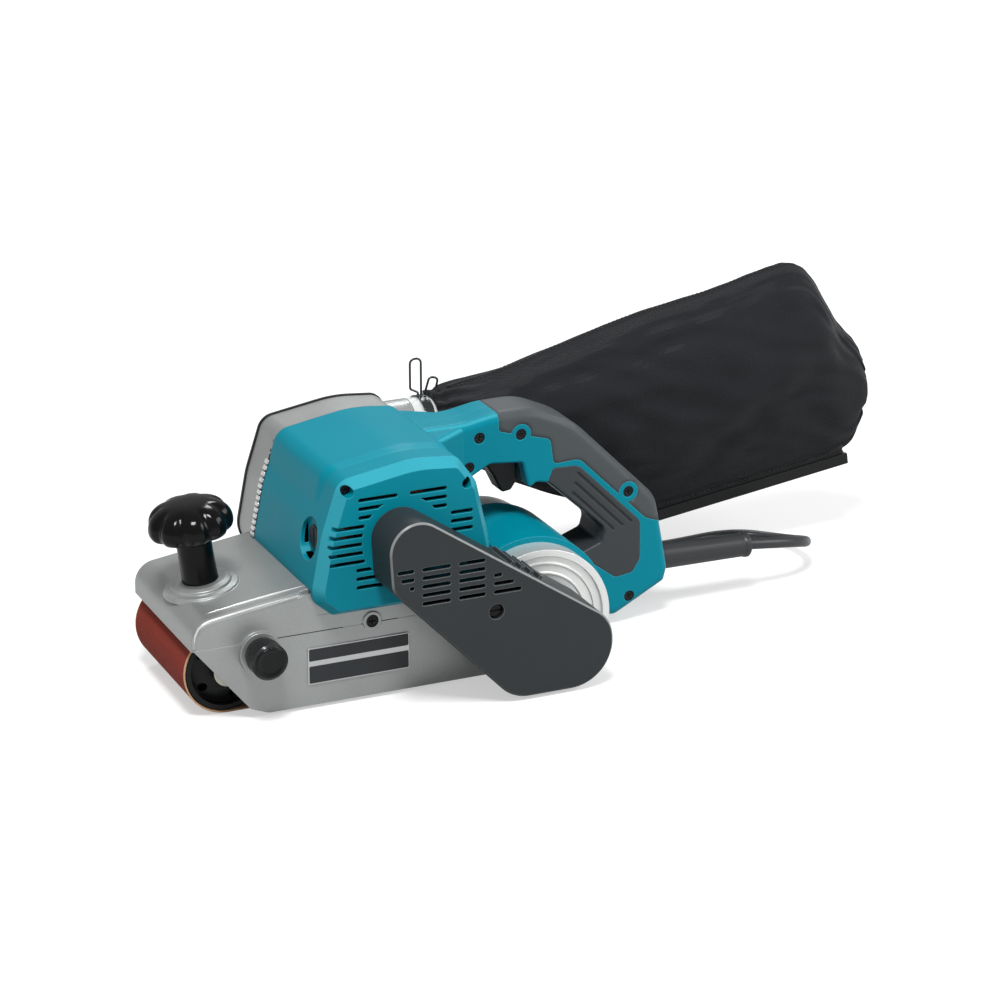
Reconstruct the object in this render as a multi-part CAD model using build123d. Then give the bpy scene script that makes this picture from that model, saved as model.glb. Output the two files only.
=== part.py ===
"""Handheld belt sander for a 100 mm wide belt, in millimetres.

The origin is the middle of the belt's flat sanding face. +X runs back towards the handle and the
cord, +Z is up, and +Y is the operator's right. The motor lies crosswise above the belt. It drives
the rear roller through a ribbed belt on the left side, and a fan on its right end blows the dust
through a swivelling nozzle into a bag.
"""

import math
import os

from build123d import *

# ---- rollers and sanding belt -------------------------------------------------------------------
ROLLER_SPACING = 213.0      # between the two roller axes
ROLLER_R = 28.5
ROLLER_CROWN = 0.6          # drop of the front roller's radius towards its ends
ROLLER_HALF = 49.5
BELT_HALF = 50.0
BELT_THICKNESS = 1.1
RUN_GAP = 0.25              # between a roller and the belt that it carries
FIT = 0.05                  # radial running fit of a shaft
AIR = 0.3                   # between pieces that move past each other

FRONT_X = -ROLLER_SPACING / 2
REAR_X = ROLLER_SPACING / 2
BELT_INNER_R = ROLLER_R + RUN_GAP
BELT_OUTER_R = BELT_INNER_R + BELT_THICKNESS
AXIS_Z = BELT_OUTER_R
BELT_TOP = AXIS_Z + BELT_OUTER_R

# ---- levels across the machine (Y) --------------------------------------------------------------
COVER_FACE = -113.0         # outer face of the drive-belt cover
PANEL_FACE = -80.0          # vented left face of the motor housing
PANEL_EDGE = -71.0          # where the bevel round that face begins
WALL_FACE = -67.0           # left face of the frame
PLATE_INSIDE = -63.5        # back of the lower side plate
WALL_INSIDE = -57.0
NOSE_RIGHT = 52.0
SPLIT_Y = 40.0              # joint between the motor housing and the fan housing
FAN_WEB = (47.0, 50.0)      # wall between the cooling fan and the dust fan
FAN_FACE = 68.0
FAN_COVER_FACE = 70.5

# ---- frame --------------------------------------------------------------------------------------
NOSE_TIP = FRONT_X - 28.3
NOSE_LIP = 52.0             # lowest edge of the nose, just over the belt
NOSE_FRONT_Z = 72.0         # height of the nose's top where it meets the tip
NOSE_SLOPE = 0.14           # rise of the nose's top per millimetre
NOSE_ROUND = 15.0
NOSE_END = -46.5
CASTING = 4.0               # wall of the cast pieces
DECK_TOP = BELT_TOP + 5.8
DECK_END = REAR_X - 31.5
SEAM_Z = 54.0               # seam between the nose casting and the side plate
PLATE_BOTTOM = 2.2
PLATE_SCREW = (-10.4, 55.4)
PLATE_SCREW_R = 6.5

# ---- platen -------------------------------------------------------------------------------------
PLATEN_HALF_X = ROLLER_SPACING / 2 - 31.5
PLATEN_HALF_Y = 49.0
PLATEN_Z = BELT_THICKNESS + AIR
STEEL_SHEET = 0.8
CORK_SHEET = 3.0
BEAM_BOTTOM = PLATEN_Z + STEEL_SHEET + CORK_SHEET

# ---- front roller, tracking and tension -----------------------------------------------------------
AXLE_R = 6.0
ARM_IN = 50.3
ARM_OUT = 53.5
PIN_X = FRONT_X + 36.5
PIN_R = 4.0
HUB_Z = (20.0, 40.0)
TRACK_X, TRACK_Z = FRONT_X + 17, 46.5
TRACK_CAP_R = 12.5
TRACK_NECK_R = 9.0
TRACK_FACE = -88.0
SLIDE_HALF = 10.0
SLIDE_X = (PIN_X + 8, PIN_X + 30)
SLIDE_TRAVEL = 8.0
SLIDE_ROD_R = 5.0
WEB_X = (SLIDE_X[1] + 29, SLIDE_X[1] + 37)
LEVER_X, LEVER_Y = PIN_X + 16, 41.0
LEVER_Z = (43.0, 50.0)

# ---- front knob -----------------------------------------------------------------------------------
KNOB_X, KNOB_Y = FRONT_X - 2.1, -10.0
BOSS_HEIGHT = 5.0
KNOB_HEAD_R = 28.6
KNOB_LOBES = 9
KNOB_FLUTE_R = 8.0

# ---- motor and drive ------------------------------------------------------------------------------
MOTOR_X, MOTOR_Z = 6.9, 115.3
STATOR_R = 41.0
STATOR_BORE = 26.2
STATOR_Y = (-24.0, 22.0)
ARMATURE_R = 25.6
SHAFT_R = 4.0
MOTOR_BEARING_R = 11.0
MOTOR_BEARINGS_Y = ((-77.0, -69.0), (31.0, 39.0))
BRUSH_Y = -52.0
BRUSH_Z = 114.0
BRUSH_HALF = (3.5, 5.0)
CAP_R = 8.5
RECESS_R = 14.0
DRIVE_SHAFT_R = 6.0
DRIVE_BEARING_R = 16.0
DRIVE_BEARINGS_Y = ((-67.0, -57.0), (-12.0, -2.0))
MOTOR_PULLEY_R = 7.0
DRIVE_PULLEY_R = 22.0
PULLEY_Y = (-98.5, -85.5)
DRIVE_BELT_THICKNESS = 2.0
DRIVE_RIBS = 5

# ---- housings -------------------------------------------------------------------------------------
SHELL = 3.0
DUCT_X, DUCT_Z = REAR_X + 5.5, 32.5  # centre of the round duct behind the drive roller
DUCT_R = 52.5
DUCT_Y = (-66.0, 50.0)
HOOD_R = DUCT_R + 4
HOOD_Y = (-50.0, 22.0)
PANEL_TAPER = 31
PANEL_SCREWS = ((-30.5, 152.0), (53.0, 146.5))
VENT_PITCH = 6.03
VENT_HEIGHT = 2.8
COVER_WALL = 2.5
COVER_SCREW = (59.3, 67.0)
COVER_SCREW_R = 2.5

# ---- handle ---------------------------------------------------------------------------------------
HANDLE_HALF = 19.0
HANDLE_ROUND = 6.0
OPENING_ROUND = 1.8
GRIP_SKIN = 2.5
TRIGGER_PIVOT = (100.0, 142.0)
TRIGGER_HALF = 8.5
TRIGGER_SWING = 12
LOCK_X, LOCK_Z = 129.0, 137.0
LOCK_R = 4.5
LOCK_TRAVEL = 3.0

# ---- dust outlet ----------------------------------------------------------------------------------
NOZZLE_Y, NOZZLE_Z = 62.0, 140.0
NOZZLE_R = 19.0
SPIGOT_R = 16.9
NOZZLE_X = (70.0, 104.0)
BAG_Y = 75.0
BAG_CLOTH = 1.6
RAIL_ENDS = ((269.0, 40.0), (428.0, 62.0))
RAIL_HALF = 4.2

# ---- cord -----------------------------------------------------------------------------------------
CORD_D = 8.0
CORD_Z = CORD_D / 2 + 0.1   # height of a cord's centre when it lies on the floor
GUARD_X = (222.0, 306.0)
GUARD_Z = (38.8, 36.3)
COIL_X, COIL_Y = 64.0, 173.0
COIL_R = 57.0
COIL_PITCH = CORD_D + 0.5
COIL_RISE = CORD_D + 0.6
COIL_TURNS = 3              # in each of the two layers

os.makedirs("parts", exist_ok=True)


# ---- shared shapes --------------------------------------------------------------------------------

def outline(points):
    """Closed XZ face from (x, z, corner radius) points."""
    corners = [(x, z) for x, z, _ in points]
    return Plane.XZ * make_face(FilletPolyline(*corners, radius=[r for *_, r in points], close=True))


def slab(face, y_from, y_to):
    """An XZ face made solid between two levels of Y."""
    return Pos(0, y_from, 0) * extrude(face, amount=y_to - y_from, dir=(0, 1, 0))


def rod(x, z, radius, y_from, y_to):
    """Round bar along Y."""
    return Pos(x, (y_from + y_to) / 2, z) * Rot(90, 0, 0) * Cylinder(radius, y_to - y_from)


def tube(x, z, outer, inner, y_from, y_to):
    """Round tube along Y."""
    return rod(x, z, outer, y_from, y_to) - rod(x, z, inner, y_from - 1, y_to + 1)


def rod_x(y, z, radius, x_from, x_to):
    """Round bar along X."""
    return Pos((x_from + x_to) / 2, y, z) * Rot(0, 90, 0) * Cylinder(radius, x_to - x_from)


def block(x, y, z):
    """Box from three (low, high) ranges."""
    centre = [(low + high) / 2 for low, high in (x, y, z)]
    return Pos(*centre) * Box(*[high - low for low, high in (x, y, z)])


def turned(profile, x, z):
    """Body of revolution about a Y axis, from (radius, y) points."""
    return Pos(x, 0, z) * revolve(make_face(Polyline(*profile, close=True)), axis=Axis.Y)


def lathe(profile):
    """Body of revolution about Z, from (radius, z) points."""
    return revolve(Plane.XZ * make_face(Polyline(*profile, close=True)), axis=Axis.Z)


def ring_places(count, radius, x, z):
    """Points spaced evenly on a circle about a Y axis."""
    for i in range(count):
        angle = 2 * math.pi * i / count
        yield x + radius * math.cos(angle), z + radius * math.sin(angle)


def belt_face(x0, z0, r0, x1, z1, r1):
    """XZ face inside a belt that runs round two circles."""
    along = math.atan2(z1 - z0, x1 - x0)
    lean = math.acos((r0 - r1) / math.dist((x0, z0), (x1, z1)))
    corners = []
    for x, z, r, sides in ((x0, z0, r0, (1, -1)), (x1, z1, r1, (-1, 1))):
        for side in sides:
            corners.append((x + r * math.cos(along + side * lean), z + r * math.sin(along + side * lean)))
    middle = make_face(Polyline(*corners, close=True))
    return Plane.XZ * (middle + Pos(x0, z0) * Circle(r0) + Pos(x1, z1) * Circle(r1))


def save(name, shape):
    """Write one node."""
    export_step(shape, f"parts/{name}.step")
    return shape


def nose_top(x):
    """Height of the nose's upper face."""
    return NOSE_FRONT_Z + NOSE_SLOPE * (x - NOSE_TIP)


KNOB_PLACE = Pos(KNOB_X, KNOB_Y, nose_top(KNOB_X)) * Rot(0, -math.degrees(math.atan(NOSE_SLOPE)), 0)

PLATE_OUTLINE = [
    (NOSE_TIP, SEAM_Z, 0),
    (FRONT_X + 10, 7.0, 5),
    (FRONT_X + 22.5, PLATE_BOTTOM, 9),
    (REAR_X + 5, PLATE_BOTTOM, 28),
    (REAR_X + 34, AXIS_Z, 20),
    (REAR_X + 20, SEAM_Z, 8),
]
INNER_WALL = [
    (FRONT_X - 15.5, SEAM_Z + 1, 0),
    (FRONT_X + 12.5, 14.0, 6),
    (FRONT_X + 26.5, 6.0, 6),
    (REAR_X + 2, 6.0, 24),
    (REAR_X + 26, AXIS_Z + 6, 24),
    (REAR_X + 2, SEAM_Z + 10, 14),
    (DECK_END, DECK_TOP, 0),
    (40.0, SEAM_Z + 1, 0),
]
HOUSING_OUTLINE = [
    (-54.0, 84.0, 20),
    (-46.5, 122.0, 60),
    (-34.5, 158.0, 12),
    (18.0, 166.5, 90),
    (49.0, 163.5, 10),
    (63.0, 144.0, 14),
    (72.0, 103.0, 30),
    (DECK_END, DECK_TOP, 0),
    (-40.0, DECK_TOP, 6),
    (-52.0, 76.0, 6),
]
COVER_OUTLINE = [
    (-17.8, 156.3, 20),
    (-13.8, 91.2, 14),
    (REAR_X - 34.6, 2.4, 28),
    (REAR_X + 38.2, 2.4, 30),
    (REAR_X + 38.2, 47.5, 25),
]
HANDLE_OUTLINE = [
    (40.0, 150.0, 0),
    (40.0, 164.3, 0),
    (78.0, 164.3, 60),
    (100.0, 168.3, 60),
    (129.0, 168.7, 45),
    (160.0, 155.0, 60),
    (224.0, 91.0, 25),
    (234.0, 36.0, 12),
    (231.5, 26.5, 4),
    (193.0, 6.5, 8),
    (150.0, 14.0, 0),
    (DUCT_X, DUCT_Z, 0),
    (70.0, 90.0, 0),
]
HAND_OPENING = [
    (50.0, 112.0, 0),
    (81.0, 125.0, 10),
    (97.0, 133.5, 4),
    (121.0, 131.0, 3),
    (125.5, 111.5, 2),
    (131.5, 115.5, 4),
    (140.5, 113.5, 8),
    (183.5, 74.5, 7),
    (181.0, 64.0, 4),
    (165.0, 58.0, 0),
    (DUCT_X, DUCT_Z, 0),
    (60.0, 40.0, 0),
]
REAR_GRIP = [
    (143.5, 124.0, 3),
    (162.7, 123.2, 9),
    (210.7, 75.5, 9),
    (210.9, 47.0, 8),
    (205.0, 38.0, 5),
    (192.0, 36.0, 5),
    (160.0, 60.0, 0),
    (130.0, 90.0, 0),
]
TOP_GRIP = [
    (103.0, 156.0, 3),
    (141.4, 145.3, 5),
    (144.0, 127.0, 3),
    (163.5, 127.8, 9),
    (214.7, 77.0, 9),
    (245.0, 66.0, 0),
    (245.0, 190.0, 0),
    (103.0, 190.0, 0),
]
TRIGGER_OUTLINE = [
    (95.5, 147.0, 4),
    (112.0, 147.0, 4),
    (121.0, 132.0, 6),
    (121.5, 115.0, 4),
    (117.0, 108.5, 3),
    (110.0, 107.5, 3),
    (103.5, 121.0, 25),
    (95.5, 133.0, 3),
]
HANDLE_SCREWS = ((119.5, 151.6), (201.2, 98.3), (203.0, 20.2), (88.7, 153.2), (81.0, 133.0))
COLLAR_R = 7.4              # teal collar round a screw that lies in a grip


# ---- frame ----------------------------------------------------------------------------------------

def main_frame():
    """Cast frame: nose, deck over the belt, left wall, platen beam and drive bearing boss."""
    inner = CASTING * math.hypot(1, NOSE_SLOPE)
    nose = outline([
        (NOSE_TIP, NOSE_LIP, 0),
        (NOSE_TIP, NOSE_FRONT_Z, NOSE_ROUND),
        (NOSE_END, nose_top(NOSE_END), 2),
        (NOSE_END, DECK_TOP, 0),
        (DECK_END, DECK_TOP, 0),
        (DECK_END, DECK_TOP - CASTING, 0),
        (NOSE_END - CASTING, DECK_TOP - CASTING, 3),
        (NOSE_END - CASTING, nose_top(NOSE_END - CASTING) - inner, 3),
        (NOSE_TIP + CASTING, nose_top(NOSE_TIP + CASTING) - inner, NOSE_ROUND - CASTING),
        (NOSE_TIP + CASTING, NOSE_LIP, 0),
    ])
    nose = slab(nose, WALL_FACE + CASTING, NOSE_RIGHT)
    wall = slab(outline([
        (NOSE_TIP, SEAM_Z, 0),
        (NOSE_TIP, NOSE_FRONT_Z, NOSE_ROUND),
        (-58.0, nose_top(-58.0), 4),
        (NOSE_END, DECK_TOP, 0),
        (DECK_END, DECK_TOP, 0),
        (DECK_END, SEAM_Z, 0),
    ]), WALL_FACE, WALL_INSIDE)
    wall = fillet(wall.edges().filter_by(nose_rim), 4.5)
    inner_wall = slab(outline(INNER_WALL), PLATE_INSIDE, WALL_INSIDE)
    frame = nose + wall + inner_wall
    inside = WALL_INSIDE - 1
    frame += block((-48, DECK_END), (inside, 47), (BEAM_BOTTOM, BEAM_BOTTOM + 7))
    for y in (-SLIDE_HALF - AIR - 6, SLIDE_HALF + AIR):
        frame += block((-48, 60), (y, y + 6), (BEAM_BOTTOM + 6, 45))
    frame += block(WEB_X, (-SLIDE_HALF - 2, SLIDE_HALF + 2), (BEAM_BOTTOM + 6, 45))
    frame += block((LEVER_X - 7, LEVER_X + 14), (16, 47), (38.5, 42.7))
    frame += block((LEVER_X + 8, 30), (16, 40), (38.5, 42.7))
    frame += rod(REAR_X, AXIS_Z, 19.5, inside, 0)
    for low, high in DRIVE_BEARINGS_Y:
        frame -= rod(REAR_X, AXIS_Z, DRIVE_BEARING_R, low - 3, high)
    frame -= rod(REAR_X, AXIS_Z, DRIVE_SHAFT_R + 3, WALL_FACE - 1, 1)
    frame -= rod_x(0, (HUB_Z[0] + HUB_Z[1]) / 2, SLIDE_ROD_R + FIT, WEB_X[0] - 1, WEB_X[1] + 1)
    frame += knob_boss()
    frame -= KNOB_PLACE * Pos(0, 0, -6) * Cylinder(4.0, 30)
    frame += rod(TRACK_X, TRACK_Z, TRACK_CAP_R + 2, WALL_FACE - 3.5, WALL_INSIDE)
    frame -= rod(TRACK_X, TRACK_Z, TRACK_NECK_R + AIR, WALL_FACE - 5, WALL_INSIDE + 1)
    frame += rod(PLATE_SCREW[0], PLATE_SCREW[1], PLATE_SCREW_R, WALL_FACE - 1.2, PLATE_INSIDE)
    frame -= rod(PLATE_SCREW[0], PLATE_SCREW[1], 4.4, WALL_FACE - 2, WALL_FACE + 1.5)
    frame -= rod(PLATE_SCREW[0], PLATE_SCREW[1], 2.1, WALL_FACE - 2, WALL_INSIDE + 6)
    frame -= Pos(LEVER_X, LEVER_Y, 40) * Cylinder(3 + FIT, 12)
    frame -= rod(COVER_SCREW[0], COVER_SCREW[1], COVER_SCREW_R, WALL_FACE - 1, WALL_INSIDE + 1)
    return frame


def nose_rim(edge):
    """Whether an edge is part of the rolled rim: the nose's upper contour on the left face."""
    box = edge.bounding_box()
    flat = max(abs(box.min.Y - WALL_FACE), abs(box.max.Y - WALL_FACE)) < 0.01
    return flat and box.min.Z > SEAM_Z - 1 and box.max.X < -50 and box.max.Z > SEAM_Z + 1


def knob_boss():
    """Stepped round boss under the front knob, square to the nose's top."""
    steps = [(0, -2), (26, -2), (24.5, 1.2), (20.5, 2.0), (20.0, 3.6), (17.0, BOSS_HEIGHT), (0, BOSS_HEIGHT)]
    return KNOB_PLACE * lathe(steps)


def side_plate():
    """Plate that closes the lower left side, cut back in front to show the roller."""
    plate = slab(outline(PLATE_OUTLINE), WALL_FACE, PLATE_INSIDE)
    plate -= rod(REAR_X, AXIS_Z, DRIVE_BEARING_R, WALL_FACE - 1, WALL_INSIDE)
    plate -= rod(TRACK_X, TRACK_Z, TRACK_CAP_R + 2, WALL_FACE - 5, WALL_INSIDE)
    plate -= rod(PLATE_SCREW[0], PLATE_SCREW[1], PLATE_SCREW_R, WALL_FACE - 5, WALL_INSIDE)
    return plate


def build_frame():
    """Frame, its plates, and the sanding belt."""
    save("main_frame", main_frame())
    save("side_plate", side_plate())
    save("plate_screw", cross_head(PLATE_SCREW[0], PLATE_SCREW[1], 4.0, WALL_FACE - 0.7))
    plate_x, plate_z = (-56.3, 16.0), (17.2, 43.0)
    nameplate = slab(outline([(x, z, 1.5) for x, z in (
        (plate_x[0], plate_z[0]),
        (plate_x[1], plate_z[0]),
        (plate_x[1], plate_z[1]),
        (plate_x[0], plate_z[1]),
    )]), WALL_FACE - 0.8, WALL_FACE)
    save("nameplate", nameplate)
    x, y = (-PLATEN_HALF_X, PLATEN_HALF_X), (-PLATEN_HALF_Y, PLATEN_HALF_Y)
    steel = block(x, y, (PLATEN_Z, PLATEN_Z + STEEL_SHEET))
    save("platen_plate", fillet(steel.edges().filter_by(Axis.Z), 2))
    cork = block((x[0] + 6, x[1] - 2), (y[0] + 2, y[1] - 2), (PLATEN_Z + STEEL_SHEET, BEAM_BOTTOM))
    save("platen_cork", cork)
    loop = belt_face(FRONT_X, AXIS_Z, BELT_OUTER_R, REAR_X, AXIS_Z, BELT_OUTER_R)
    hollow = belt_face(FRONT_X, AXIS_Z, BELT_INNER_R, REAR_X, AXIS_Z, BELT_INNER_R)
    save("sanding_belt", slab(loop, -BELT_HALF, BELT_HALF) - slab(hollow, -BELT_HALF - 1, BELT_HALF + 1))


def build_front_end():
    """Front roller, its tilting fork, the tension slide and lever, the tracking screw."""
    low_r = ROLLER_R - ROLLER_CROWN
    h = ROLLER_HALF
    roller = turned([
        (AXLE_R + FIT, -h + 3), (15, -h + 3), (24, -h + 6), (24.6, -h), (low_r, -h), (ROLLER_R, 0),
        (low_r, h), (24.6, h), (24, h - 6), (15, h - 3), (AXLE_R + FIT, h - 3),
    ], FRONT_X, AXIS_Z)
    for x, z in ring_places(5, 19.5, FRONT_X, AXIS_Z):
        for y in (-h, h - 12):
            roller -= rod(x, z, 3.2, y - 1, y + 13)
    save("front_roller", roller)
    save("front_axle", rod(FRONT_X, AXIS_Z, AXLE_R, -ARM_OUT - 2, ARM_OUT + 2))

    arm = outline([
        (FRONT_X - 10, AXIS_Z - 10, 9.9),
        (PIN_X + 5, HUB_Z[0], 2),
        (PIN_X + 5, HUB_Z[1], 2),
        (TRACK_X + 8, HUB_Z[1], 4),
        (TRACK_X + 6, TRACK_Z + 5, 4),
        (TRACK_X - 8, TRACK_Z + 5, 4),
        (FRONT_X - 10, AXIS_Z + 10, 9.9),
    ])
    fork = slab(arm, -ARM_OUT, -ARM_IN) + slab(arm, ARM_IN, ARM_OUT)
    fork += block((PIN_X - 4, PIN_X + 5), (-ARM_OUT, ARM_OUT), (HUB_Z[0] + 3, HUB_Z[1] - 3))
    fork += Pos(PIN_X, 0, sum(HUB_Z) / 2) * Cylinder(7, HUB_Z[1] - HUB_Z[0])
    fork -= Pos(PIN_X, 0, sum(HUB_Z) / 2) * Cylinder(PIN_R + FIT, 40)
    for y in (-ARM_OUT, ARM_IN):
        fork -= rod(FRONT_X, AXIS_Z, AXLE_R, y - 1, y + 5)
    save("roller_fork", fork)

    low, high = HUB_Z[0] - AIR, HUB_Z[1] + AIR
    slide = block(SLIDE_X, (-SLIDE_HALF, SLIDE_HALF), (low - 4.5, high + 4.5))
    for z in ((low - 4.5, low), (high, high + 4.5)):
        slide += block((PIN_X, SLIDE_X[0] + 1), (-7, 7), z)
        slide += Pos(PIN_X, 0, sum(z) / 2) * Cylinder(7, z[1] - z[0])
    slide += Pos(PIN_X, 0, (low + high) / 2) * Cylinder(PIN_R, high - low + 9)
    slide += rod_x(0, sum(HUB_Z) / 2, SLIDE_ROD_R, SLIDE_X[1] - 1, WEB_X[1] - 4)
    save("tension_slide", slide)

    turns, wire = 6, 1.0
    length = WEB_X[0] - SLIDE_X[1] - SLIDE_TRAVEL - 0.5
    helix = Helix(pitch=(length - 2 * wire) / turns, height=length - 2 * wire, radius=SLIDE_ROD_R + 1.6)
    spring = sweep(Plane(origin=helix @ 0, z_dir=helix % 0) * Circle(wire), path=helix, is_frenet=True)
    place = Pos(SLIDE_X[1] + wire + 0.05, 0, sum(HUB_Z) / 2) * Rot(0, 90, 0)
    save("tension_spring", place * spring)

    lever = block((LEVER_X, LEVER_X + 62), (LEVER_Y + 3.5, LEVER_Y + 8.5), LEVER_Z)
    lever = fillet(lever.edges().filter_by(Axis.Y), 3)
    lever += Pos(LEVER_X, LEVER_Y, sum(LEVER_Z) / 2) * Cylinder(9, LEVER_Z[1] - LEVER_Z[0])
    lever += Pos(LEVER_X, LEVER_Y, LEVER_Z[0] - 3) * Cylinder(3, 8)
    save("tension_lever", lever)

    neck_end = WALL_FACE - 3.5 - AIR
    knob = turned([
        (0, TRACK_FACE), (TRACK_CAP_R - 1.5, TRACK_FACE), (TRACK_CAP_R, TRACK_FACE + 1.5),
        (TRACK_CAP_R, neck_end - 5), (TRACK_CAP_R - 1, neck_end), (TRACK_NECK_R, neck_end),
        (TRACK_NECK_R, WALL_INSIDE + 1), (3, WALL_INSIDE + 1), (3, -ARM_OUT - 0.8), (0, -ARM_OUT - 0.8),
    ], TRACK_X, TRACK_Z)
    for x, z in ring_places(30, TRACK_CAP_R + 0.5, TRACK_X, TRACK_Z):
        knob -= rod(x, z, 0.9, TRACK_FACE + 4, neck_end + 1)
    save("tracking_knob", knob)


def build_front_knob():
    """Lobed knob on its stem, and the bolt that holds it to the nose."""
    mid = BOSS_HEIGHT + 42.7
    knob = lathe([
        (0, BOSS_HEIGHT), (14.5, BOSS_HEIGHT), (12.4, BOSS_HEIGHT + 6), (12.2, mid - 14),
        (15, mid - 9.5), (23, mid - 8.5), (0, mid - 8.5),
    ])
    head = Pos(0, 0, mid) * Cylinder(KNOB_HEAD_R, 21)
    head = fillet(head.edges(), 9)
    for i in range(KNOB_LOBES):
        angle = 2 * math.pi * (i + 0.5) / KNOB_LOBES
        reach = KNOB_HEAD_R + KNOB_FLUTE_R - 4.2
        head -= Pos(reach * math.cos(angle), reach * math.sin(angle), mid) * Cylinder(KNOB_FLUTE_R, 24)
    knob += head
    knob -= Pos(0, 0, mid / 2) * Cylinder(4.0, mid - BOSS_HEIGHT + 12)
    save("front_knob", KNOB_PLACE * knob)
    bolt = Pos(0, 0, 12) * Cylinder(4.0, 36) + Pos(0, 0, -7.8) * extrude(RegularPolygon(6.5, 6), 3.8)
    save("knob_bolt", KNOB_PLACE * bolt)


# ---- drive ----------------------------------------------------------------------------------------

def pulley(x, z, radius, bore):
    """Ribbed pulley with a flange at each side."""
    low, high = PULLEY_Y
    profile = [(bore, low), (radius + 2.2, low), (radius + 2.2, low + 1)]
    step = (high - low - 2.4) / DRIVE_RIBS
    start = low + 1.2
    for i in range(DRIVE_RIBS):
        profile += [(radius - 1, start + i * step), (radius, start + (i + 0.5) * step)]
    profile += [(radius - 1, high - 1.2), (radius + 2.2, high - 1), (radius + 2.2, high), (bore, high)]
    return turned(profile, x, z)


def bearing(x, z, outer, inner, y_range):
    """Ball bearing drawn as its two rings and shield in one ring."""
    low, high = y_range
    middle = (outer + inner) / 2
    half = (outer - inner) / 4
    return turned([
        (inner, low), (middle - half, low), (middle - half, low + 0.5), (middle + half, low + 0.5),
        (middle + half, low), (outer, low), (outer, high), (middle + half, high),
        (middle + half, high - 0.5), (middle - half, high - 0.5), (middle - half, high), (inner, high),
    ], x, z)


def build_drive():
    """Drive roller and shaft, ribbed belt and pulleys."""
    h = ROLLER_HALF
    roller = turned([
        (DRIVE_SHAFT_R, 8), (13, 8), (14, 12), (22, 14), (23, -h), (ROLLER_R, -h), (ROLLER_R, h),
        (23, h), (22, 20), (13, 22), (DRIVE_SHAFT_R, 22),
    ], REAR_X, AXIS_Z)
    save("drive_roller", roller)
    shaft = rod(REAR_X, AXIS_Z, DRIVE_SHAFT_R, PULLEY_Y[0] - 6, 24)
    save("drive_shaft", shaft)
    wheel = pulley(REAR_X, AXIS_Z, DRIVE_PULLEY_R, DRIVE_SHAFT_R)
    wheel -= turned([(10, PULLEY_Y[0] - 1), (19, PULLEY_Y[0] - 1), (19, PULLEY_Y[0] + 5), (10, PULLEY_Y[0] + 5)],
                    REAR_X, AXIS_Z)
    save("large_pulley", wheel)
    nut = Plane.XZ * (Pos(REAR_X, AXIS_Z) * RegularPolygon(10, 6))
    save("pulley_nut", slab(nut, PULLEY_Y[0] - 5, PULLEY_Y[0]) - rod(REAR_X, AXIS_Z, DRIVE_SHAFT_R, -110, 0))

    low, high = PULLEY_Y[0] + 1.6, PULLEY_Y[1] - 1.6
    ends = (MOTOR_X, MOTOR_Z, REAR_X, AXIS_Z)
    inner = [belt_face(ends[0], ends[1], MOTOR_PULLEY_R + gap, ends[2], ends[3], DRIVE_PULLEY_R + gap)
             for gap in (AIR, AIR + DRIVE_BELT_THICKNESS)]
    save("drive_belt", slab(inner[1], low, high) - slab(inner[0], low - 1, high + 1))
    rings = [bearing(REAR_X, AXIS_Z, DRIVE_BEARING_R, DRIVE_SHAFT_R + FIT, y) for y in DRIVE_BEARINGS_Y]
    save("drive_bearings", Compound(children=rings))


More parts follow.
